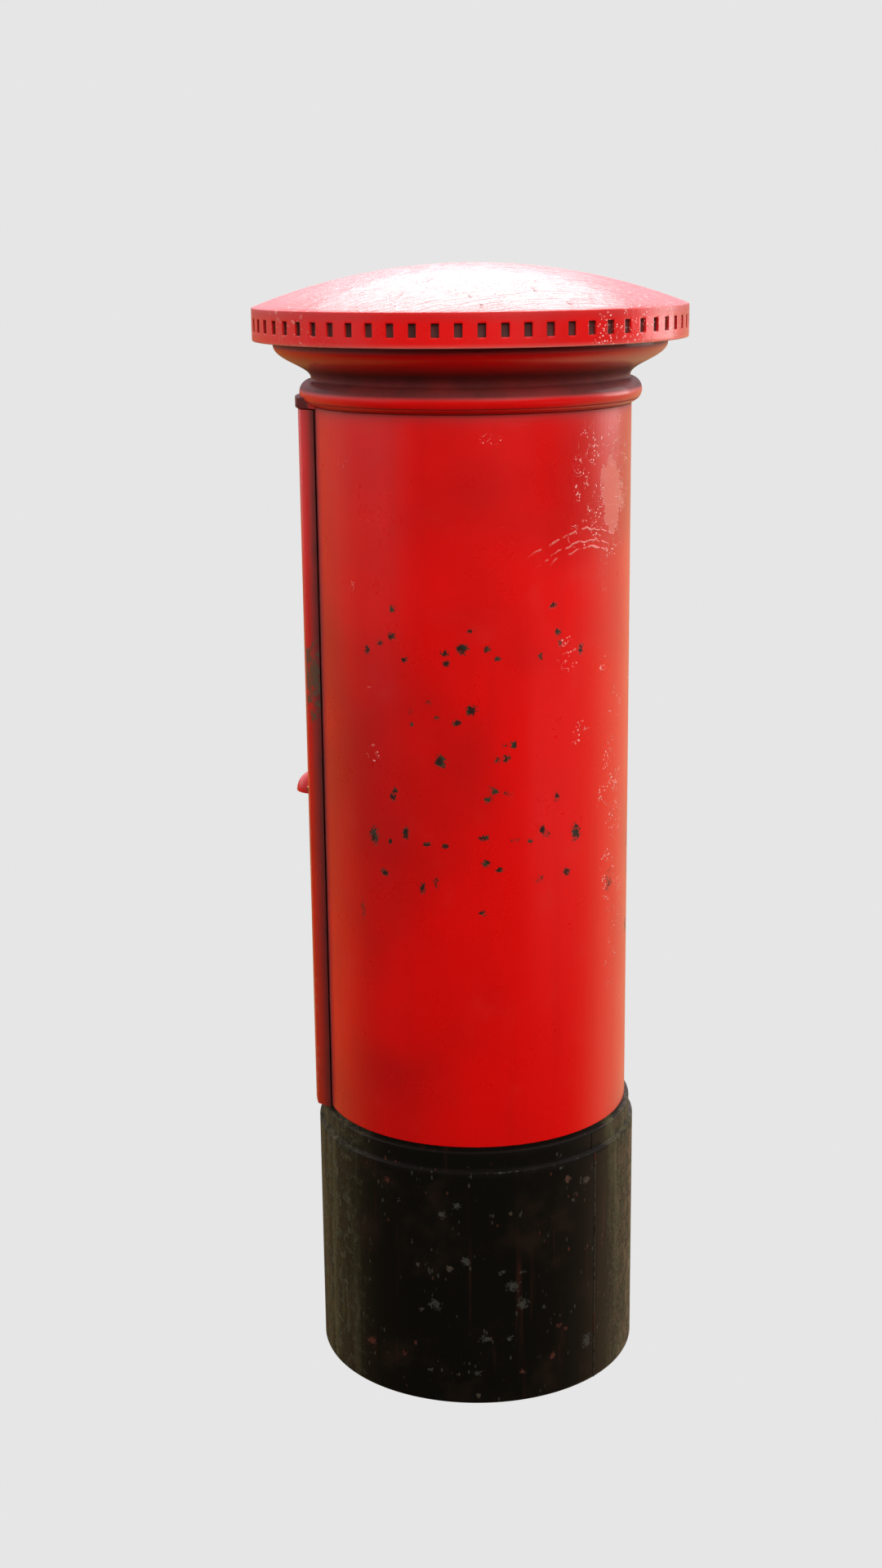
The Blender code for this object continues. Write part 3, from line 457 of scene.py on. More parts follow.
class Nodes:
    """A node tree, with short calls for the nodes used here."""

    def __init__(self, owner, coords):
        owner.use_nodes = True
        self.owner = owner
        self.tree = owner.node_tree
        self.coords = self.tree.nodes.new("ShaderNodeTexCoord").outputs[coords]

    def feed(self, socket, value):
        if isinstance(value, bpy.types.NodeSocket):
            self.tree.links.new(value, socket)
        else:
            socket.default_value = value

    def node(self, kind, inputs, output=0, **settings):
        made = self.tree.nodes.new(kind)
        for key, value in settings.items():
            setattr(made, key, value)
        for key, value in inputs.items():
            self.feed(made.inputs[key], value)
        return made.outputs[output]

    def math(self, operation, a, b=0.0):
        return self.node("ShaderNodeMath", {0: a, 1: b}, operation=operation)

    def mul(self, a, b):
        return self.math("MULTIPLY", a, b)

    def add(self, a, b):
        return self.math("ADD", a, b)

    def larger(self, a, b):
        return self.math("MAXIMUM", a, b)

    def apart(self, a, b):
        return self.math("ABSOLUTE", self.math("SUBTRACT", a, b))

    def total(self, first, *terms):
        """The first value plus each further value times its share."""
        for value, share in terms:
            first = self.add(first, self.mul(value, share))
        return first

    def step(self, value, start, end):
        """0 below start and 1 above end, smoothly; the other way round if start is the larger."""
        inputs = {"Value": value, "From Min": start, "From Max": end}
        return self.node("ShaderNodeMapRange", inputs, interpolation_type="SMOOTHSTEP")

    def between(self, value, low_end, high_end):
        return self.node("ShaderNodeMapRange", {"Value": value, "To Min": low_end, "To Max": high_end})

    def blend(self, factor, a, b):
        return self.node("ShaderNodeMix", {0: factor, 6: a, 7: b}, output=2, data_type="RGBA")

    def layer(self, under, over, where, strength=1.0):
        return self.blend(self.mul(where, strength), under, over)

    def noise(self, scale, detail=3.0, rough=0.5, vector=None, distortion=0.0):
        return self.node(
            "ShaderNodeTexNoise",
            {"Vector": vector or self.coords, "Scale": scale, "Detail": detail,
             "Roughness": rough, "Distortion": distortion},
        )

    def jitter(self, amount, scale, detail, rough=0.5):
        """Noise about zero."""
        return self.mul(self.math("SUBTRACT", self.noise(scale, detail, rough), 0.5), amount)

    def cells(self, scale, vector=None, feature="F1", output=0):
        return self.node("ShaderNodeTexVoronoi", {"Vector": vector or self.coords, "Scale": scale},
                         output=output, feature=feature)

    def stretched(self, scale, rotation=(0.0, 0.0, 0.0)):
        return self.node("ShaderNodeMapping", {"Vector": self.coords, "Scale": scale, "Rotation": rotation})

    def along(self, spacing, turn):
        """Coordinates turned about Z and then divided by the spacing."""
        inputs = {"Vector": self.coords, "Scale": spacing, "Rotation": (0.0, 0.0, turn)}
        return self.node("ShaderNodeMapping", inputs, vector_type="TEXTURE")

    def distance(self, point):
        return self.node("ShaderNodeVectorMath", {0: self.coords, 1: point}, output=1, operation="DISTANCE")

    def mask(self, name):
        return self.node("ShaderNodeAttribute", {}, output=2, attribute_name=name)

    def bump(self, height, distance, strength):
        return self.node("ShaderNodeBump", {"Height": height, "Distance": distance, "Strength": strength})

    def finish(self, colour, roughness, normal, **fixed):
        inputs = self.tree.nodes["Principled BSDF"].inputs
        self.feed(inputs["Base Color"], colour)
        self.feed(inputs["Roughness"], roughness)
        self.feed(inputs["Normal"], normal)
        for name, value in fixed.items():
            inputs[name.replace("_", " ")].default_value = value
        return self.owner


def material_nodes(name):
    return Nodes(bpy.data.materials.new(name), "Object")


RED = (0.62, 0.0030, 0.0022, 1.0)
DEEP_RED = (0.42, 0.0042, 0.0034, 1.0)
# Lighter red for random tone, for rubbed edges and for painted highlights along edges
WORN_AND_LIT_RED = (0.60, 0.060, 0.040, 1.0)
# Dark brown of painted shade, laid where shade falls in creases, gaps and hollows
PAINTED_SHADE_BROWN = (0.040, 0.011, 0.009, 1.0)
# Painted shade inside the cap's dentil recesses
RECESS_SHADE = (0.085, 0.022, 0.018, 1.0)
CHIP_RIM = (0.120, 0.030, 0.018, 1.0)
# Pale pink and near white of painted glints, highlights and reflection on the red paint
PAINTED_HIGHLIGHT_PINK = (0.70, 0.25, 0.21, 1.0)
PAINTED_GLINT = (0.90, 0.62, 0.58, 1.0)
CHIP_CORE = (0.015, 0.0080, 0.0055, 1.0)
CHIP_GREEN = (0.026, 0.030, 0.014, 1.0)
# The most scarred place on the edge of the door
SCAR_CENTRE = Vector((DOOR_HALF_X, -0.165, 1.045))
SCAR = (0.060, 0.048, 0.026, 1.0)
# Where something swung against the paint and left raised arcs, which the red paint colours pale as painted glints
SWIPE_CENTRE = around(BODY_R, STREET_SIDE + 44.0, 1.120)
SWIPE_RADII = (0.124, 0.133, 0.149)
BRUSH_TURN = math.radians(STREET_SIDE + 112.0)  # the way the dome was last brushed


def flaked_paint(g):
    """Curls and beads of raised paint, and the beads alone."""
    flakes = g.mask("flakes")
    zone = g.mul(g.step(flakes, 0.02, 0.20), g.step(g.add(flakes, g.noise(36.0, 3.0, 0.6)), 0.56, 0.82))
    contour = g.apart(g.noise(33.0, 2.0, 0.5, distortion=0.8), 0.5)
    curls = g.mul(g.step(contour, 0.014, 0.004), g.step(g.noise(90.0, 2.0), 0.50, 0.58))
    beads = g.mul(g.step(g.cells(230.0), 0.34, 0.14), g.step(g.noise(60.0, 2.0), 0.52, 0.60))
    return g.mul(g.larger(curls, beads), zone), g.mul(beads, zone)


def swing_arcs(g):
    reached = g.add(g.distance(SWIPE_CENTRE), g.jitter(0.020, 30.0, 2.0))
    arcs = 0.0
    for reach in SWIPE_RADII:
        arcs = g.larger(arcs, g.step(g.apart(reached, reach), 0.0016, 0.0006))
    return g.mul(g.mul(arcs, g.mask("swipe")), g.step(g.noise(95.0, 2.0), 0.44, 0.54))


def scratches(g):
    steep = g.stretched((1.0, 1.0, 0.07), (0.0, 0.7, 0.5))
    level = g.stretched((0.10, 1.0, 1.0), (0.5, 0.2, 0.9))
    return g.larger(g.step(g.noise(90.0, 2.0, 0.5, steep, 0.6), 0.60, 0.66),
                    g.step(g.noise(120.0, 2.0, 0.5, level, 0.4), 0.62, 0.68))


def brush_marks(g):
    """The strokes and the grit on top of the dome."""
    strokes = g.noise(1.0, 3.0, 0.6, g.along((0.075, 0.0050, 0.012), BRUSH_TURN), 0.4)
    grit = g.mul(g.step(g.cells(310.0), 0.36, 0.16), g.step(g.noise(38.0, 3.0), 0.46, 0.60))
    return g.add(g.mul(strokes, 4.0), g.mul(grit, 2.0))


def red_paint():
    """Old gloss paint on cast iron: scratches, flakes, chips down to dark primer, painted shade in the hollows and
    painted highlights on raised paint and edges.
    """
    g = material_nodes("red_paint")
    large = g.noise(2.6, 3.0, 0.5)
    medium = g.noise(16.0, 5.0, 0.6)
    grain = g.noise(230.0, 3.0, 0.6)
    runs = g.noise(30.0, 3.0, 0.55, g.stretched((1.0, 1.0, 0.05)))
    colour = g.blend(g.step(large, 0.42, 0.68), RED, DEEP_RED)
    colour = g.layer(colour, DEEP_RED, g.step(runs, 0.50, 0.78), 0.22)
    colour = g.layer(colour, WORN_AND_LIT_RED, g.step(medium, 0.56, 0.80), 0.10)

    # Worn edges: paint rubbed back, together with painted highlight along edges that catch the light.
    worn_and_lit = g.step(g.add(g.mask("wear"), g.jitter(1.1, 90.0, 4.0, 0.65)), 0.52, 0.66)
    colour = g.layer(colour, WORN_AND_LIT_RED, worn_and_lit, 0.75)

    # Painted shade: dark brown laid in creases, under the bead, beside the door and inside the castings, and made
    # matte.
    soot = g.mul(g.mask("soot"), g.between(medium, 0.72, 1.15))
    colour = g.blend(g.math("MINIMUM", soot, 1.0), colour, PAINTED_SHADE_BROWN)
    # Painted shade inside the dentil recesses, mixed with the dark brown of painted shade.
    recess = g.mask("recess")
    colour = g.blend(recess, colour, g.blend(g.step(medium, 0.4, 0.7), RECESS_SHADE, PAINTED_SHADE_BROWN))

    # Raised curls, beads and arcs are bumped, and also coloured pale and near white: painted glints where the
    # light catches them.
    flakes, beads = flaked_paint(g)
    raised = g.larger(flakes, swing_arcs(g))
    colour = g.layer(colour, PAINTED_HIGHLIGHT_PINK, raised, 0.55)
    colour = g.layer(colour, PAINTED_GLINT, beads, 0.65)

    # A flaked patch with a dark outline and a pale fill of painted reflection, a painted highlight along the lower
    # edge of the rim, and the scarred door edge
    near_patch = g.step(g.mask("patch"), 0.02, 0.10)
    field = g.mul(g.add(g.mask("patch"), g.jitter(1.9, 52.0, 3.0, 0.6)), near_patch)
    patch = g.step(field, 0.42, 0.47)
    colour = g.layer(colour, DEEP_RED, g.step(field, 0.33, 0.38), 0.40)
    colour = g.layer(colour, PAINTED_HIGHLIGHT_PINK, patch, 0.40)
    colour = g.layer(colour, PAINTED_HIGHLIGHT_PINK, g.mask("bright_edge"), 0.60)
    scarred = g.total(g.noise(85.0, 4.0, 0.7), (g.step(g.distance(SCAR_CENTRE), 0.125, 0.02), 0.30))
    colour = g.layer(colour, SCAR, g.mul(g.step(scarred, 0.73, 0.79), g.mask("door_edge")), 0.85)

    # Chips: a ragged rim of primer round a core of old iron
    chips = g.mask("chips")
    chip = g.add(chips, g.mul(g.jitter(2.6, 250.0, 5.0, 0.75), g.step(chips, 0.02, 0.25)))
    rim = g.step(chip, 0.46, 0.50)
    core = g.step(chip, 0.56, 0.61)
    colour = g.layer(colour, CHIP_RIM, rim, 0.85)
    colour = g.blend(core, colour, g.blend(g.step(g.noise(60.0, 2.0), 0.50, 0.6), CHIP_CORE, CHIP_GREEN))

    brushed = g.mask("brushed")
    rough = g.total(g.between(medium, 0.22, 0.36), (brushed, -0.06), (soot, 0.55), (core, 0.40),
                    (recess, 0.30), (patch, -0.10))
    height = g.total(raised, (patch, -0.5), (scratches(g), -0.10), (brush_marks(g), brushed),
                     (grain, 0.09), (medium, 0.30), (rim, -0.9))
    return g.finish(colour, rough, g.bump(height, 0.0006, 0.9),
                    Specular_IOR_Level=0.45, Coat_Weight=0.15, Coat_Roughness=0.12)


BLACK = (0.0045, 0.0038, 0.0026, 1.0)
BROWN_BLACK = (0.012, 0.0070, 0.0045, 1.0)
MOSS = (0.080, 0.074, 0.034, 1.0)
OLIVE_BLACK = (0.020, 0.019, 0.010, 1.0)
GREY_CHIP = (0.050, 0.049, 0.038, 1.0)
TAN_CHIP = (0.080, 0.058, 0.038, 1.0)
RUST = (0.095, 0.022, 0.014, 1.0)


def black_paint():
    """Satin black with rain streaks, moss at the sides, porous grey chips and flecks of rust."""
    g = material_nodes("black_paint")
    medium = g.noise(11.0, 5.0, 0.6)
    grain = g.noise(260.0, 3.0, 0.6)
    runs = g.noise(48.0, 4.0, 0.6, g.stretched((1.0, 1.0, 0.06)))
    colour = g.blend(g.step(medium, 0.48, 0.70), BLACK, BROWN_BLACK)
    colour = g.layer(colour, RUST, g.step(runs, 0.60, 0.78), 0.30)

    moss = g.mask("moss")
    mottle = g.noise(64.0, 5.0, 0.7)
    streaks = g.step(g.noise(38.0, 5.0, 0.65, g.stretched((1.0, 1.0, 0.12))), 0.44, 0.66)
    colour = g.layer(colour, OLIVE_BLACK, moss, 0.60)
    colour = g.layer(colour, MOSS, g.mul(moss, streaks), 0.55)
    colour = g.layer(colour, MOSS, g.mul(moss, g.step(mottle, 0.52, 0.60)), 0.50)

    # Grey and rust lines along the edges: wear, together with painted highlight on the rounded edges.
    wear = g.mask("wear")
    worn_and_lit = g.step(g.add(wear, g.jitter(1.6, 140.0, 5.0, 0.7)), 0.74, 0.90)
    worn_and_lit_to = g.blend(g.step(g.noise(15.0, 2.0), 0.50, 0.56), GREY_CHIP, RUST)
    colour = g.layer(colour, worn_and_lit_to, worn_and_lit, 0.60)

    chip = g.step(g.add(g.mask("chips"), g.jitter(2.4, 210.0, 5.0, 0.75)), 0.56, 0.64)
    tan_or_rust = g.blend(g.step(g.noise(7.0, 1.0), 0.49, 0.53), TAN_CHIP, RUST)
    inside = g.blend(g.step(g.noise(9.0, 1.0), 0.46, 0.50), GREY_CHIP, tan_or_rust)
    colour = g.layer(colour, inside, chip, 0.62)
    drawn = g.stretched((1.0, 1.0, 0.45))
    flecks = g.mul(g.step(g.cells(150.0, drawn), 0.30, 0.16), g.step(g.noise(34.0, 3.0), 0.54, 0.62))
    fleck_colour = g.blend(g.step(g.noise(33.0, 1.0), 0.46, 0.54), RUST, GREY_CHIP)
    colour = g.layer(colour, fleck_colour, flecks, 0.55)

    rough = g.total(g.between(medium, 0.34, 0.52), (chip, 0.25), (g.step(wear, 0.0, 0.3), 0.35),
                    (g.mul(moss, g.step(mottle, 0.44, 0.56)), 0.30))
    height = g.total(g.mul(medium, 0.5), (runs, 0.25), (grain, 0.12), (chip, -0.6), (flecks, -0.5),
                     (g.mul(moss, mottle), 5.0))
    return g.finish(colour, rough, g.bump(height, 0.0006, 0.9), Specular_IOR_Level=0.20)


def metal(name, bright, dull, roughness, stain, stain_amount, spangle=0.0):
    """Bare or plated metal with tarnish, stain in patches and fine grain."""
    g = material_nodes(name)
    patches = g.noise(40.0, 5.0, 0.6)
    grain = g.noise(420.0, 3.0, 0.6)
    colour = g.blend(g.step(patches, 0.38, 0.66), bright, dull)
    if spangle:
        value = g.node("ShaderNodeRGBToBW", {0: g.cells(70.0, output=1)})
        colour = g.layer(colour, bright, value, spangle)
    stains = g.step(g.noise(75.0, 5.0, 0.65), 0.56, 0.70)
    colour = g.layer(colour, stain, stains, stain_amount)
    rough = g.total(g.between(patches, roughness, roughness + 0.22), (stains, 0.25 * stain_amount))
    normal = g.bump(g.add(g.mul(grain, 0.3), g.mul(stains, 0.3)), 0.0002, 0.8)
    return g.finish(colour, rough, normal, Metallic=1.0)


def enamel():
    """White vitreous enamel with faint crazing and grey weathering."""
    g = material_nodes("white_enamel")
    white = (0.74, 0.73, 0.68, 1.0)
    weathered = (0.40, 0.37, 0.30, 1.0)
    crack = (0.30, 0.27, 0.22, 1.0)
    dirt = g.noise(26.0, 5.0, 0.65)
    colour = g.layer(white, weathered, g.step(dirt, 0.46, 0.74), 0.55)
    crazing = g.step(g.cells(260.0, feature="DISTANCE_TO_EDGE"), 0.025, 0.0)
    colour = g.layer(colour, crack, crazing, 0.25)
    normal = g.bump(g.mul(dirt, 0.5), 0.0002, 0.6)
    return g.finish(colour, g.between(dirt, 0.12, 0.34), normal, Coat_Weight=0.4, Coat_Roughness=0.06)


def window():
    """A clear glazing sheet, hazed and lightly scratched."""
    g = material_nodes("clear_window")
    clear = (0.90, 0.93, 0.92, 1.0)
    hazed = (0.80, 0.82, 0.78, 1.0)
    haze = g.noise(30.0, 4.0, 0.6)
    colour = g.blend(g.step(haze, 0.45, 0.7), clear, hazed)
    across = g.stretched((1.0, 1.0, 0.05), (0.3, 0.5, 0.0))
    scratch = g.step(g.noise(160.0, 2.0, 0.5, across), 0.62, 0.68)
    normal = g.bump(scratch, 0.00005, 0.5)
    return g.finish(colour, g.between(haze, 0.03, 0.12), normal, Transmission_Weight=0.92, IOR=1.49)


SMOOTH_ANGLE = 35.0


def dress(obj, material, body, node):
    """Finish a piece: its material, shading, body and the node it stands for."""
    obj.data.materials.clear()
    obj.data.materials.append(material)
    obj.data.shade_smooth()
    obj.data.set_sharp_from_angle(angle=math.radians(SMOOTH_ANGLE))
    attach(obj, body)
    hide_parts(node)


# Castings


def mask_base(base):
    degrees, z, radius, _ = cylinder_places(base)
    outer = smooth(radius, STEP_R - 0.003, STEP_R - 0.001)
    chips = BASE_CHIPS + scattered(3, 60, 66.0, (0.02, 0.34), (0.008, 0.018))
    mask(base, "chips", spots(degrees, z, radius, chips) * outer)
    # Lighter lines on the rounded top edges of the plinth and the step: painted highlight where the edges catch
    # the light, together with wear.
    edge = near(z, BASE_TOP_Z - 0.0015, 0.003) * (radius > STEP_R - 0.001)
    edge += 0.7 * near(z, STEP_TOP_Z - 0.001, 0.002) * (radius > NECK_R + 0.002)
    turns = np.radians(degrees)
    patchy = 0.45 + 0.35 * np.cos(3.0 * (turns - math.radians(20.0))) + 0.20 * np.sin(11.0 * turns)
    on_seam = 0.85 * (radius > BASE_R + 0.0002)
    mask(base, "wear", np.maximum(edge * np.clip(patchy, 0.0, 1.0), on_seam))
    moss = np.maximum(smooth(-degrees, 38.0, 62.0), smooth(degrees, 50.0, 62.0))
    moss *= 1.0 - smooth(np.abs(degrees), 100.0, 140.0) * 0.6
    mask(base, "moss", moss * (radius < BASE_R + 0.002))


def base_piece():
    top = BODY_Z0 - GAP
    outline = [(FOOT_R, 0.0), (BASE_R - 0.002, 0.0), (BASE_R - 0.0006, 0.0006), (BASE_R, 0.002)]
    outline += [(BASE_R, z) for z in rows(0.006, BASE_TOP_Z - 0.008, 0.004)]
    outline += arc((BASE_R - 0.0026, BASE_TOP_Z - 0.0026), 0.0026, 0, 90, 5)
    outline += arc((STEP_R + 0.0012, BASE_TOP_Z + 0.0012), 0.0012, 270, 180, 3)
    outline += [(STEP_R, z) for z in rows(BASE_TOP_Z + 0.004, STEP_TOP_Z - 0.004, 0.004)]
    outline += arc((STEP_R - 0.0016, STEP_TOP_Z - 0.0016), 0.0016, 0, 90, 4)
    outline += [(NECK_R, STEP_TOP_Z), (NECK_R, top), (FLANGE_R, top), (FLANGE_R, top - FLANGE_T)]
    outline += [(BASE_WALL_R, top - FLANGE_T), (BASE_WALL_R, FOOT_T), (FOOT_R, FOOT_T)]
    base = turned("base", outline, dense_angles())
    cut(base, gathered("holes", *bolt_holes(BASE_BOLTS, top - FLANGE_T)))
    plinth_z = (0.0005, BASE_TOP_Z - 0.003)
    step_z = (BASE_TOP_Z - 0.001, STEP_TOP_Z - 0.002)
    seams = []
    for degrees in (STREET_SIDE + JOINT_LINE, STREET_SIDE + JOINT_LINE + 180.0):
        for radius, z in ((BASE_R, plinth_z), (STEP_R, step_z)):
            seam = block("seam", (radius - 0.0010, radius + 0.0005), about(0.0011), z)
            seams.append(turn_about_z(soften(seam, 0.0004), degrees))
    join(base, gathered("seams", *seams))
    mask_base(base)
    return base


def hinge_lug(z):
    lug = upright("lug", HINGE_X, HINGE_Y, z, KNUCKLE_R, bevel=0.0008)
    join(lug, block("reach", about(KNUCKLE_R - 0.0003, HINGE_X),
                    (HINGE_Y, -0.075), (z[0] + 0.0004, z[1] - 0.0004), bevel=0.0006))
    return cut(lug, ring("inside", 0.05, BODY_R - WALL / 2, (z[0] - 0.01, z[1] + 0.01), even_angles(131)))


def pin_hole(z):
    return upright("pin_hole", HINGE_X, HINGE_Y, about(0.05, z), PIN_HOLE_R)


def mask_carcase(shell):
    degrees, z, radius, points = cylinder_places(shell)
    outer = (radius > BODY_R - 0.002).astype(float)
    chips = BODY_CHIPS + scattered(5, 80, 78.0, (0.55, 1.25), (0.007, 0.016))
    worn_spots = np.maximum(spots(degrees, z, radius, chips), 0.55 * spots(degrees, z, radius, BODY_SCUFFS))
    mask(shell, "chips", worn_spots * outer)
    flakes = spots(degrees, z, radius, BODY_FLAKES + scattered(8, 30, 75.0, (0.5, 1.4), (0.02, 0.04)))
    mask(shell, "flakes", flakes * 1.2 * outer)
    mask(shell, "patch", smooth(spots(degrees, z, radius, BODY_PATCHES), 0.0, 0.9) * outer)
    swipe = smooth(degrees, 18.0, 26.0) * (1.0 - smooth(degrees, 50.0, 58.0)) * smooth(z, 1.222, 1.240)
    mask(shell, "swipe", swipe * outer)
    # Painted shade: darker under the bead, along the gap beside the door and on the inside of the casting.
    under_bead = 0.75 * near(z, BODY_Z1, 0.006) * outer
    beside_door = (np.abs(points[:, 0]) > 0.15) & (points[:, 1] < -0.09)
    gap_side = smooth(-points[:, 1], 0.104, 0.124) * (np.abs(points[:, 0]) > 0.12) * outer
    inside = (radius < BODY_R - 0.004) * 0.55
    mask(shell, "soot", np.maximum(np.maximum(under_bead, gap_side * beside_door), inside))
    mask(shell, "wear", 0.5 * near(z, BODY_Z0, 0.003) * outer)


def carcase_piece():
    outline = [(BODY_R - 0.0008, BODY_Z0), (BODY_R, BODY_Z0 + 0.0010)]
    outline += [(BODY_R, z) for z in rows(BODY_Z0 + 0.004, 0.700, 0.012)]
    outline += [(BODY_R, z) for z in rows(0.703, 1.380, 0.003)]
    outline += [(BODY_R, z) for z in rows(1.386, BODY_Z1 - 0.006, 0.006)]
    outline += [(BODY_R, BODY_Z1 - 0.0008), (BODY_R - 0.0008, BODY_Z1), (FLANGE_R, BODY_Z1)]
    outline += [(FLANGE_R, BODY_Z1 - FLANGE_T), (INNER_R, BODY_Z1 - FLANGE_T)]
    outline += [(INNER_R, BODY_Z0 + FLANGE_T), (FLANGE_R, BODY_Z0 + FLANGE_T), (FLANGE_R, BODY_Z0)]
    shell = turned("carcase_casting", outline, dense_angles())

    additions = []
    cutters = [pin_hole(z) for z in HINGE_ZS]
    for z in HINGE_ZS:
        additions.append(hinge_lug((z - LUG_FAR, z - LUG_NEAR)))
        additions.append(hinge_lug((z + LUG_NEAR, z + LUG_FAR)))
    for z in (GUARD_Z[0] - 0.014, GUARD_Z[1] + 0.002):
        eye = upright("eye", GUARD_X, GUARD_Y, (z, z + 0.012), 0.008, bevel=0.0006)
        join(eye, block("arm", (-0.205, GUARD_X), about(0.007, GUARD_Y),
                        (z + 0.0004, z + 0.0116), bevel=0.0006))
        additions.append(eye)
        cutters.append(upright("pivot", GUARD_X, GUARD_Y, (z - 0.004, z + 0.016), PIN_HOLE_R))
    cutters += bolt_holes(BASE_BOLTS, BODY_Z0)
    cutters += bolt_holes(CORNICE_BOLTS, BODY_Z1 - FLANGE_T)
    join(shell, gathered("additions", *additions))
    cut(shell, block("opening", about(DOORWAY_HALF_X), FRONT, DOORWAY_Z))
    cut(shell, gathered("cutters", *cutters))
    mask_carcase(shell)
    return shell


def ogee(steps):
    neck = BODY_R - 0.0023
    points = []
    for step in range(steps + 1):
        t = step / steps
        radius = neck + (CORNICE_R - neck) * (3 * t**2 - 2 * t**3)
        rise = 3 * t * (1 - t) ** 2 * 0.018 + 3 * t**2 * (1 - t) * 0.0245 + t**3 * 0.0465
        points.append((radius, OGEE_Z0 + rise))
    return points


def mask_cornice(crown):
    _, z, radius, points = cylinder_places(crown)
    outer = (radius > BODY_R - 0.004).astype(float)
    # Painted shade in the neck under the ogee, in the grooves, on the hood, under the cap rim and inside the
    # casting.
    upper_bead = smooth(z, BEAD_Z, BEAD_Z + 0.007) * (1.0 - smooth(z, 1.474, 1.490))
    groove = near(z, 1.4343, 0.0006) + 0.8 * near(z, CORNICE_Z0, 0.0008)
    on_hood = (radius > BODY_R + 0.004) & (points[:, 1] < -0.13) & (z < 1.4395)
    under_rim = smooth(z, 1.503, 1.512) * 0.8
    soot = np.maximum.reduce([upper_bead * 0.95, groove * 0.85, on_hood * 0.95, under_rim])
    mask(crown, "soot", soot * outer + (1.0 - outer) * 0.5)
    mask(crown, "wear", near(z, BEAD_Z - 0.004, 0.004) * 0.25 * outer)


def cornice_piece():
    seat = CORNICE_Z1 - FLANGE_T
    outline = [(FLANGE_R, CORNICE_Z0), (0.2262, CORNICE_Z0), (0.2268, CORNICE_Z0 + 0.0005)]
    outline += [(0.2310, 1.4303), (0.2350, 1.4333), (0.2352, 1.4338), (0.2346, 1.4341), (0.2344, 1.4346)]
    outline += arc((BODY_R - 0.003, BEAD_Z), BEAD_R, -34, 82, 24)
    outline += ogee(28)
    outline += [(CORNICE_R, CORNICE_Z1), (LIP_R, CORNICE_Z1), (LIP_R, seat), (CAP_SEAT_R, seat)]
    outline += [(CAP_SEAT_R, seat - 0.009), (CROWN_INNER_R, 1.470), (CROWN_INNER_R, CORNICE_Z0 + FLANGE_T)]
    outline += [(FLANGE_R, CORNICE_Z0 + FLANGE_T)]
    crown = turned("cornice_moulding", outline, even_angles(240))
    hood = ring("hood", BODY_R + 0.0006, HOOD_R, HOOD_Z, even_angles(240))
    keep(hood, block("span", about(HOOD_HALF_X), FRONT, (1.4, 1.5)))
    join(crown, soften(hood, 0.0022, segments=3))
    holes = bolt_holes(CORNICE_BOLTS, CORNICE_Z0) + bolt_holes(CAP_BOLTS, seat)
    cut(crown, gathered("holes", *holes))
    mask_cornice(crown)
    return crown


def dome(top, rim_r, rim_z, edge_r, steps):
    rise = top - rim_z
    sphere = (rim_r**2 + rise**2) / (2 * rise)
    points = []
    for step in range(steps + 1):
        radius = edge_r * (1 - step / steps)
        points.append((radius, top - sphere + math.sqrt(sphere**2 - radius**2)))
    return points


def mask_cap(shell):
    degrees, z, radius, _ = cylinder_places(shell)
    on_rim = (radius > RIM_R - 0.008) & (z < RIM_Z1 - 0.002) & (z > RIM_Z0 + 0.001)
    recess = on_rim & (radius < RIM_R - 0.003) & (np.abs(z - DENTIL_Z) < DENTIL_SIZE[2] / 2 + 0.001)
    mask(shell, "recess", recess.astype(float))
    # Painted shade inside the cap; the rim band is also made darker towards its top.
    top_band = smooth(z, RIM_Z1 - 0.016, RIM_Z1 - 0.004) * (radius > RIM_R - 0.001) * 0.20
    inside = (radius < RIM_R - 0.010) & (z < RIM_Z1 - 0.002)
    mask(shell, "soot", np.maximum(top_band, inside * 0.4))
    # Lighter lines along the rim's lower and upper edges: wear, together with painted highlight.
    edges = near(z, RIM_Z0 + 0.0005, 0.0014) + 0.7 * near(z, RIM_Z1, 0.0012)
    mask(shell, "wear", edges * (radius > RIM_R - 0.003))
    mask(shell, "brushed", smooth(z, RIM_Z1 - 0.001, RIM_Z1 + 0.002))
    # Painted highlight: a pale line along the rim's lower edge.
    mask(shell, "bright_edge", near(z, RIM_Z0 + 0.0008, 0.0007) * (radius > RIM_R - 0.002))
    flakes = spots(degrees, z, radius, [(52.0, 1.535, 0.14, 0.06), (-52.0, 1.540, 0.06, 0.05)])
    mask(shell, "flakes", flakes * 1.5)
    dome_chips = scattered(11, 40, 0.0, (1.56, 1.60), (0.004, 0.007))
    mask(shell, "chips", spots(degrees, z, radius, dome_chips) * 0.8)


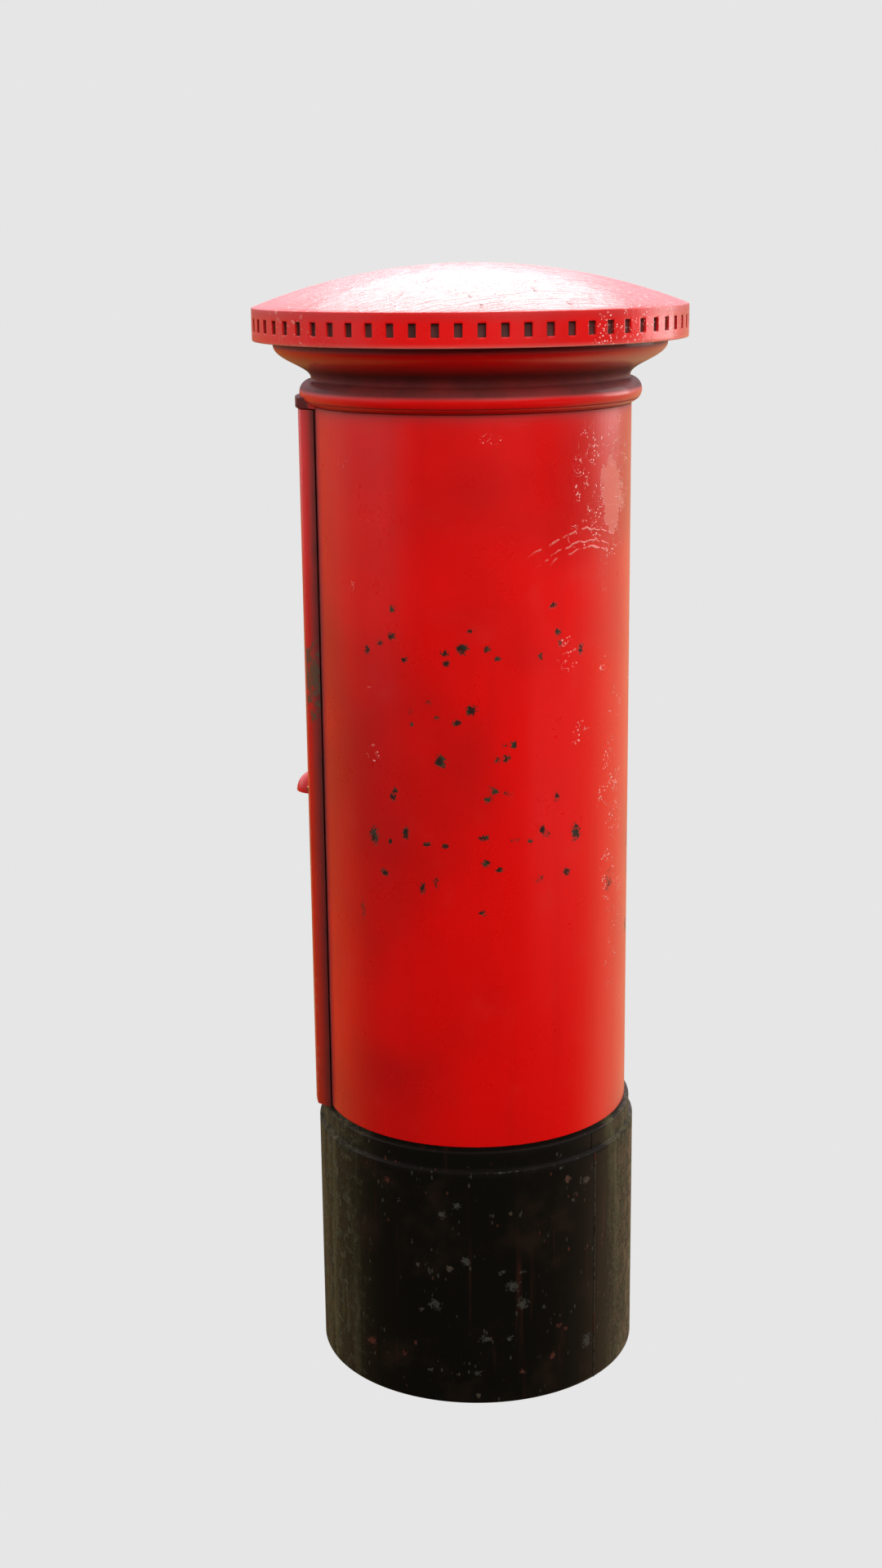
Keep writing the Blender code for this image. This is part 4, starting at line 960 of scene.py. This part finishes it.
def cap_piece():
    round_r = 0.0016
    outline = dome(CAP_TOP_Z, RIM_R, RIM_Z1, RIM_R - round_r, 56)[::-1]
    outline += arc((RIM_R - round_r, RIM_Z1 - round_r * 0.7), round_r, 60, 0, 4)
    outline += [(RIM_R, z) for z in rows(RIM_Z1 - 0.006, RIM_Z0 + 0.006, 0.004)]
    outline += arc((RIM_R - round_r, RIM_Z0 + round_r), round_r, 0, -90, 4)
    outline += [(0.290, RIM_Z0), (LIP_R, RIM_Z0), (LIP_R, RIM_Z0 + FLANGE_T)]
    outline += [(CAP_INNER_R, RIM_Z0 + FLANGE_T)]
    outline += dome(CAP_TOP_Z - WALL, RIM_R, RIM_Z1 - WALL, CAP_INNER_R, 12)
    shell = turned("cap_casting", outline, even_angles(256))
    width, depth, height = DENTIL_SIZE
    sunk = []
    for index in range(DENTILS):
        dentil = block("dentil", about(width / 2), about(depth, -RIM_R), about(height / 2, DENTIL_Z))
        sunk.append(turn_about_z(dentil, 360.0 * (index + 0.5) / DENTILS))
    cut(shell, gathered("dentils", *sunk))
    soften(shell, 0.0005)
    cut(shell, gathered("holes", *bolt_holes(CAP_BOLTS, RIM_Z0)))
    mask_cap(shell)
    return shell


# Door


def sector(name, inner, outer, half_x, z, segments=192):
    bar = ring(name, inner, outer, z, even_angles(segments))
    return keep(bar, block("span", about(half_x), FRONT, (z[0] - 0.01, z[1] + 0.01)))


def proud(piece):
    """Trim what stands on the door so that it starts inside the door's thickness."""
    return cut(piece, ring("inside", 0.05, DOOR_MIDDLE, (DOOR_Z0, DOOR_Z1), even_angles(192)))


def frame_pad(name, half_x, z, front, pocket_half_x, pocket_z, floor):
    """A raised panel with rounded edges and a stepped pocket."""
    pad = block(name, about(half_x), (front, -0.200), z)
    pocket = block("pocket", about(pocket_half_x), (-0.30, floor), pocket_z)
    return cut(proud(pad), pocket)


def mask_door(leaf):
    degrees, z, radius, points = cylinder_places(leaf)
    # Painted shade on the door's side faces, darker towards the body, and on the door's inner face.
    side_face = smooth(np.abs(points[:, 0]), DOOR_HALF_X - 0.004, DOOR_HALF_X - 0.001)
    depth_in = smooth(points[:, 1], -0.142, -0.123)
    behind = (radius < DOOR_IN + 0.0005) * 0.5
    mask(leaf, "soot", np.maximum(side_face * depth_in * 0.95, behind))
    # A lighter line along the outer corner of the side face: painted highlight, together with wear.
    mask(leaf, "wear", side_face * smooth(-points[:, 1], 0.1465, 0.1485) * 0.6)
    chips = DOOR_CHIPS + scattered(17, 60, 0.0, (0.45, 1.05), (0.006, 0.014))
    mask(leaf, "chips", spots(degrees, z, radius, chips) * (radius > DOOR_OUT - 0.010))
    mask(leaf, "door_edge", (np.abs(points[:, 0]) > DOOR_HALF_X - 0.002).astype(float))


def door_piece():
    """The leaf with its rebate, slot surround, frames, boss and knuckles; each curved slab has its own
    number of segments, so that no two of them share an edge."""
    leaf = sector("door_casting", DOOR_IN, DOOR_OUT, DOOR_HALF_X, (DOOR_Z0, DOOR_Z1))
    rebate = sector("rebate", DOOR_IN - 0.013, DOOR_MIDDLE, 0.168, (0.428, 1.397), 160)
    join(leaf, cut(rebate, block("field", about(0.158), FRONT, (0.438, 1.387))))
    join(leaf, sector("surround", DOOR_MIDDLE + 0.001, DOOR_OUT + 0.005, SLOT_HALF_X + 0.012,
                      (1.278, 1.345), 176))
    join(leaf, proud(upright("rain_hood", 0.0, -0.108, (1.334, 1.346), 0.150, 200)))
    cut(leaf, block("slot", about(SLOT_HALF_X), (-0.3, -0.17), SLOT_Z))

    join(leaf, frame_pad("notice", 0.078, (1.105, 1.250), -0.248, 0.067, (1.117, 1.238), -0.2440))
    join(leaf, frame_pad("tablet", 0.032, (1.058, 1.094), -0.2475, 0.0245, (1.0635, 1.0885), -0.2435))
    boss = radial("boss", (BOSS_Y, -0.170), LOCK_Z, 0.0, 0.018, 48)
    ear = radial("ear", (BOSS_Y, -0.170), COVER_Z, 0.0, 0.010)
    join(leaf, turn_about_z(proud(join(boss, ear)), LOCK_AZIMUTH))
    for z in HINGE_ZS:
        knuckle = upright("knuckle", HINGE_X, HINGE_Y, about(KNUCKLE_HALF, z), KNUCKLE_R)
        arm = block("arm", (HINGE_X, -0.1885), (HINGE_Y - KNUCKLE_R + 0.0003, HINGE_Y + KNUCKLE_R - 0.001),
                    about(KNUCKLE_HALF - 0.0005, z))
        join(leaf, join(knuckle, arm))
    soften(leaf, 0.0013, segments=3)

    holes = [pin_hole(z) for z in HINGE_ZS]
    holes.append(radial("key_bore", (-0.25, -0.20), LOCK_Z, LOCK_AZIMUTH, 0.0098))
    holes.append(radial("pivot_hole", (-0.25, -0.2295), COVER_Z, LOCK_AZIMUTH, LOCK_HOLE_R, 16))
    for z in LOCK_PILLAR_ZS:
        join(leaf, radial("pillar", (-0.231, LOCK_FACE_Y - GAP), z, LOCK_AZIMUTH, 0.007))
        depth = (LOCK_FACE_Y - 0.018, LOCK_FACE_Y + 0.01)
        holes.append(radial("hole", depth, z, LOCK_AZIMUTH, LOCK_HOLE_R, 16))
    for side in (-1, 1):
        depth = (-DOOR_OUT - 0.01, -DOOR_OUT + 0.009)
        turn = PULL_AZIMUTH + side * PULL_SCREW_AT
        holes.append(radial("hole", depth, PULL_SCREW_Z, turn, SCREW_HOLE_R, 16))
        depth = (-DOOR_IN + 0.01, -DOOR_IN - 0.0115)
        for z in CHUTE_SCREW_ZS:
            holes.append(radial("hole", depth, z, side * CHUTE_SCREW_AT, SCREW_HOLE_R, 16))
    cut(leaf, gathered("holes", *holes))
    mask_door(leaf)
    return leaf


def cup_shape(name, thickness):
    """The pull's rounded outside, or its hollow when a thickness is taken off."""
    half_sizes = [half - thickness for half in PULL_HALF_SIZE]
    place = Matrix.Translation((0.0, -DOOR_OUT, PULL_Z)) @ Matrix.Diagonal((*half_sizes, 1.0))
    bm = bmesh.new()
    bmesh.ops.create_uvsphere(bm, u_segments=56, v_segments=32, radius=1.0, matrix=place)
    return solid(name, bm)


def pull_piece():
    cup = cup_shape("pull_casting", 0.0)
    ears = sector("ears", DOOR_OUT + GAP, DOOR_OUT + 0.0033, 0.041, (PULL_Z + 0.002, PULL_Z + 0.016))
    join(cup, soften(ears, 0.0006))
    cut(cup, cup_shape("hollow", 0.004))
    cut(cup, block("below", about(0.06), (-0.30, -0.20), (PULL_Z - 0.05, PULL_Z)))
    cut(cup, ring("door_face", 0.05, DOOR_OUT + GAP, about(0.06, PULL_Z), even_angles(192)))
    for side in (-1, 1):
        cut(cup, radial("hole", (-0.26, -0.23), PULL_SCREW_Z, side * PULL_SCREW_AT, SCREW_HOLE_R, 16))
    turn_about_z(cup, PULL_AZIMUTH)
    _, z, _, _ = cylinder_places(cup)
    mask(cup, "wear", near(z, PULL_Z, 0.003) * 0.5)
    return cup


def guard_piece():
    """Round wires welded into a frame, with a pivot rod at the hinge side."""
    bottom, top = GUARD_Z
    far_x = -GUARD_X - 0.004
    pivot_z = (bottom - 0.020, top + 0.020)
    parts = [upright("pivot", GUARD_X, GUARD_Y, pivot_z, GUARD_PIVOT_R, 24, bevel=0.0006)]
    for z in (bottom + 0.004, top - 0.004):
        parts.append(rod("rail", (GUARD_X, GUARD_Y, z), (far_x, GUARD_Y, z), GUARD_FRAME_R, 20))
    stile_z = (bottom + 0.001, top - 0.001)
    parts.append(upright("stile", far_x, GUARD_Y, stile_z, GUARD_FRAME_R, 20, bevel=0.0006))
    y = GUARD_Y - GUARD_WIRE_R / 2
    for index in range(1, GUARD_WIRES + 1):
        x = GUARD_X * (1.0 - 2.0 * index / (GUARD_WIRES + 1))
        parts.append(upright("wire", x, y, (bottom + 0.003, top - 0.003), GUARD_WIRE_R, 12))
    y = GUARD_Y + GUARD_WIRE_R / 2
    for index in range(1, GUARD_RUNGS + 1):
        z = bottom + (top - bottom) * index / (GUARD_RUNGS + 1)
        parts.append(rod("rung", (GUARD_X, y, z), (far_x, y, z), GUARD_WIRE_R, 12))
    guard = parts[0]
    guard.name = "guard_wires"
    return join(guard, *parts[1:])


# Stage

# Radiance of the surroundings, as the surfaces see them
GROUND_FRONT = (0.012, 0.010, 0.009, 1.0)
GROUND_LEFT = (0.34, 0.20, 0.065, 1.0)
GROUND_RIGHT = (0.95, 0.62, 0.36, 1.0)
SKY_FRONT = (0.10, 0.10, 0.11, 1.0)
SKY_LOW = (0.74, 0.55, 0.62, 1.0)
SKY_HIGH = (1.78, 1.42, 1.56, 1.0)
PALE_GREY = (0.791, 0.791, 0.791, 1.0)  # what the camera sees of world and floor


def world_light():
    """Pale grey to the eye. To surfaces, a pale sky and warm ground behind the box, brighter on the
    right of the view, and little light in front."""
    world = bpy.data.worlds.new("studio")
    bpy.context.scene.world = world
    g = Nodes(world, "Generated")

    def facing(azimuth):
        toward = around(1.0, STREET_SIDE + azimuth, 0.0)
        return g.node("ShaderNodeVectorMath", {0: g.coords, 1: toward}, output=1, operation="DOT_PRODUCT")

    up = g.node("ShaderNodeSeparateXYZ", {0: g.coords}, output=2)
    behind = facing(180.0)
    right = facing(90.0)
    sides = g.blend(g.step(right, -0.3, 0.6), GROUND_LEFT, GROUND_RIGHT)
    ground = g.blend(g.step(behind, -0.25, 0.45), GROUND_FRONT, sides)
    high_sky = g.blend(g.step(up, 0.02, 0.30), SKY_LOW, SKY_HIGH)
    sky = g.blend(g.step(behind, -0.3, 0.6), SKY_FRONT, high_sky)
    colour = g.blend(g.step(up, -0.07, 0.05), ground, sky)
    surfaces = g.node("ShaderNodeBackground", {"Color": colour})
    seen = g.node("ShaderNodeBackground", {"Color": PALE_GREY})
    to_eye = g.node("ShaderNodeLightPath", {})
    shown = g.node("ShaderNodeMixShader", {0: to_eye, 1: surfaces, 2: seen})
    g.feed(g.tree.nodes["World Output"].inputs["Surface"], shown)


def panel(name, azimuth, distance, height, size, power, aim_z, glossy=True, diffuse=True, shape="RECTANGLE"):
    """A soft box; azimuth is in degrees from the street side, turning towards the right of the view."""
    data = bpy.data.lights.new(name, "AREA")
    data.shape = shape
    data.size, data.size_y = size
    data.energy = power
    obj = bpy.data.objects.new(name, data)
    bpy.context.collection.objects.link(obj)
    spot = around(distance, STREET_SIDE + azimuth, height)
    obj.location = spot
    aim = Vector((0.0, 0.0, aim_z)) - spot
    obj.rotation_euler = aim.to_track_quat("-Z", "Y").to_euler()
    obj.visible_camera = False
    obj.visible_glossy = glossy
    obj.visible_diffuse = diffuse


def floor_piece():
    bm = bmesh.new()
    bmesh.ops.create_circle(bm, cap_ends=True, segments=96, radius=30.0)
    floor = solid("studio_floor", bm)
    floor.location.z = -0.0005
    g = material_nodes("pale_floor")
    glow = g.node("ShaderNodeEmission", {"Color": PALE_GREY})
    g.feed(g.tree.nodes["Material Output"].inputs["Surface"], glow)
    floor.data.materials.append(g.owner)
    floor.visible_glossy = False
    floor.visible_diffuse = False


def camera_piece():
    """The fitted camera: distance and height in body radii, small yaw, pitch down and roll."""
    distance = 13.485 * BODY_R
    height = 7.360 * BODY_R
    yaw, pitch, roll = (math.radians(value) for value in (-0.899, 14.450, -0.659))
    forward = Vector((math.sin(yaw) * math.cos(pitch), math.cos(yaw) * math.cos(pitch), -math.sin(pitch)))
    right = Vector((math.cos(yaw), -math.sin(yaw), 0.0))
    up = right.cross(forward)
    right_rolled = right * math.cos(roll) + up * math.sin(roll)
    up_rolled = up * math.cos(roll) - right * math.sin(roll)
    axes = Matrix((right_rolled, up_rolled, -forward)).transposed().to_4x4()
    data = bpy.data.cameras.new("camera")
    data.sensor_fit = "VERTICAL"
    data.sensor_height = 36.0
    data.lens = 49.04
    data.clip_end = 100.0
    camera = bpy.data.objects.new("camera", data)
    bpy.context.collection.objects.link(camera)
    camera.matrix_world = (
        Matrix.Rotation(math.radians(CAMERA_AZIMUTH), 4, "Z")
        @ Matrix.Translation((0.0, -distance, height))
        @ axes
    )
    bpy.context.scene.camera = camera


def lights():
    """Two glossy panels give the dome and the upper right their shine; the rest light without shine."""
    panel("sky_panel", 180.0, 4.0, 5.45, (3.3, 5.3), 198.0, 1.58, diffuse=False, shape="ELLIPSE")
    panel("right_panel", 112.0, 3.2, 2.25, (1.8, 2.3), 55.0, 1.3, diffuse=False)
    fills = (
        ("key", 28.0, 4.3, 3.5, (3.0, 3.0), 208.0, 0.8),
        ("front_fill", -14.0, 4.6, 3.8, (3.0, 3.0), 66.0, 0.8),
        ("left_fill", -68.0, 5.0, 2.2, (3.0, 3.0), 88.0, 0.8),
        ("right_fill", 85.0, 4.5, 2.2, (2.5, 2.5), 34.0, 0.8),
        ("low_fill", 62.0, 3.2, 0.12, (2.6, 0.7), 18.0, 1.45),
        ("door_fill", -116.0, 5.0, 2.2, (3.0, 3.0), 98.0, 0.9),
        ("back_fill", 165.0, 5.0, 2.4, (4.0, 3.0), 130.0, 0.9),
        ("overhead", 90.0, 0.6, 4.5, (3.0, 3.0), 120.0, 0.0),
    )
    for fill in fills:
        panel(*fill, glossy=False)


def main():
    camera_piece()
    red = red_paint()
    black = black_paint()
    steel = metal("dull_steel", (0.34, 0.33, 0.31, 1.0), (0.17, 0.16, 0.15, 1.0), 0.36,
                  (0.16, 0.06, 0.025, 1.0), 0.8)
    zinc = metal("galvanised_sheet", (0.52, 0.53, 0.54, 1.0), (0.34, 0.35, 0.36, 1.0), 0.38,
                 (0.42, 0.40, 0.36, 1.0), 0.6, spangle=0.5)
    brass = metal("aged_brass", (0.58, 0.40, 0.15, 1.0), (0.26, 0.17, 0.07, 1.0), 0.30,
                  (0.07, 0.09, 0.05, 1.0), 0.5)

    pieces = (
        (base_piece, black, "pillar", "base_casting", "black_paint"),
        (carcase_piece, red, "pillar", "carcase", "red_paint"),
        (cornice_piece, red, "pillar", "cornice", "red_paint"),
        (cap_piece, red, "pillar", "cap", "red_paint"),
        (door_piece, red, "door", "door_leaf", "red_paint"),
        (pull_piece, red, "door", "door_pull", "red_paint"),
        (guard_piece, zinc, "guard", "wire_guard", "galvanised"),
    )
    for shape, material, body, node, slot in pieces:
        dress(shape(), material, body, node)

    finishes = {"steel": steel, "galvanised": zinc, "brass": brass, "enamel": enamel(), "glazing": window()}
    replaced = {node for _, _, _, node, _ in pieces}
    for part in frame["record"]["subparts"]:
        if part["node"] in replaced:
            continue
        node = frame["nodes"][part["node"]]
        for slot in node.material_slots:
            slot.material = finishes[part["material_slot"]]

    world_light()
    lights()
    floor_piece()
    scene = bpy.context.scene
    scene.view_settings.view_transform = "Standard"
    scene.cycles.use_denoising = True


main()
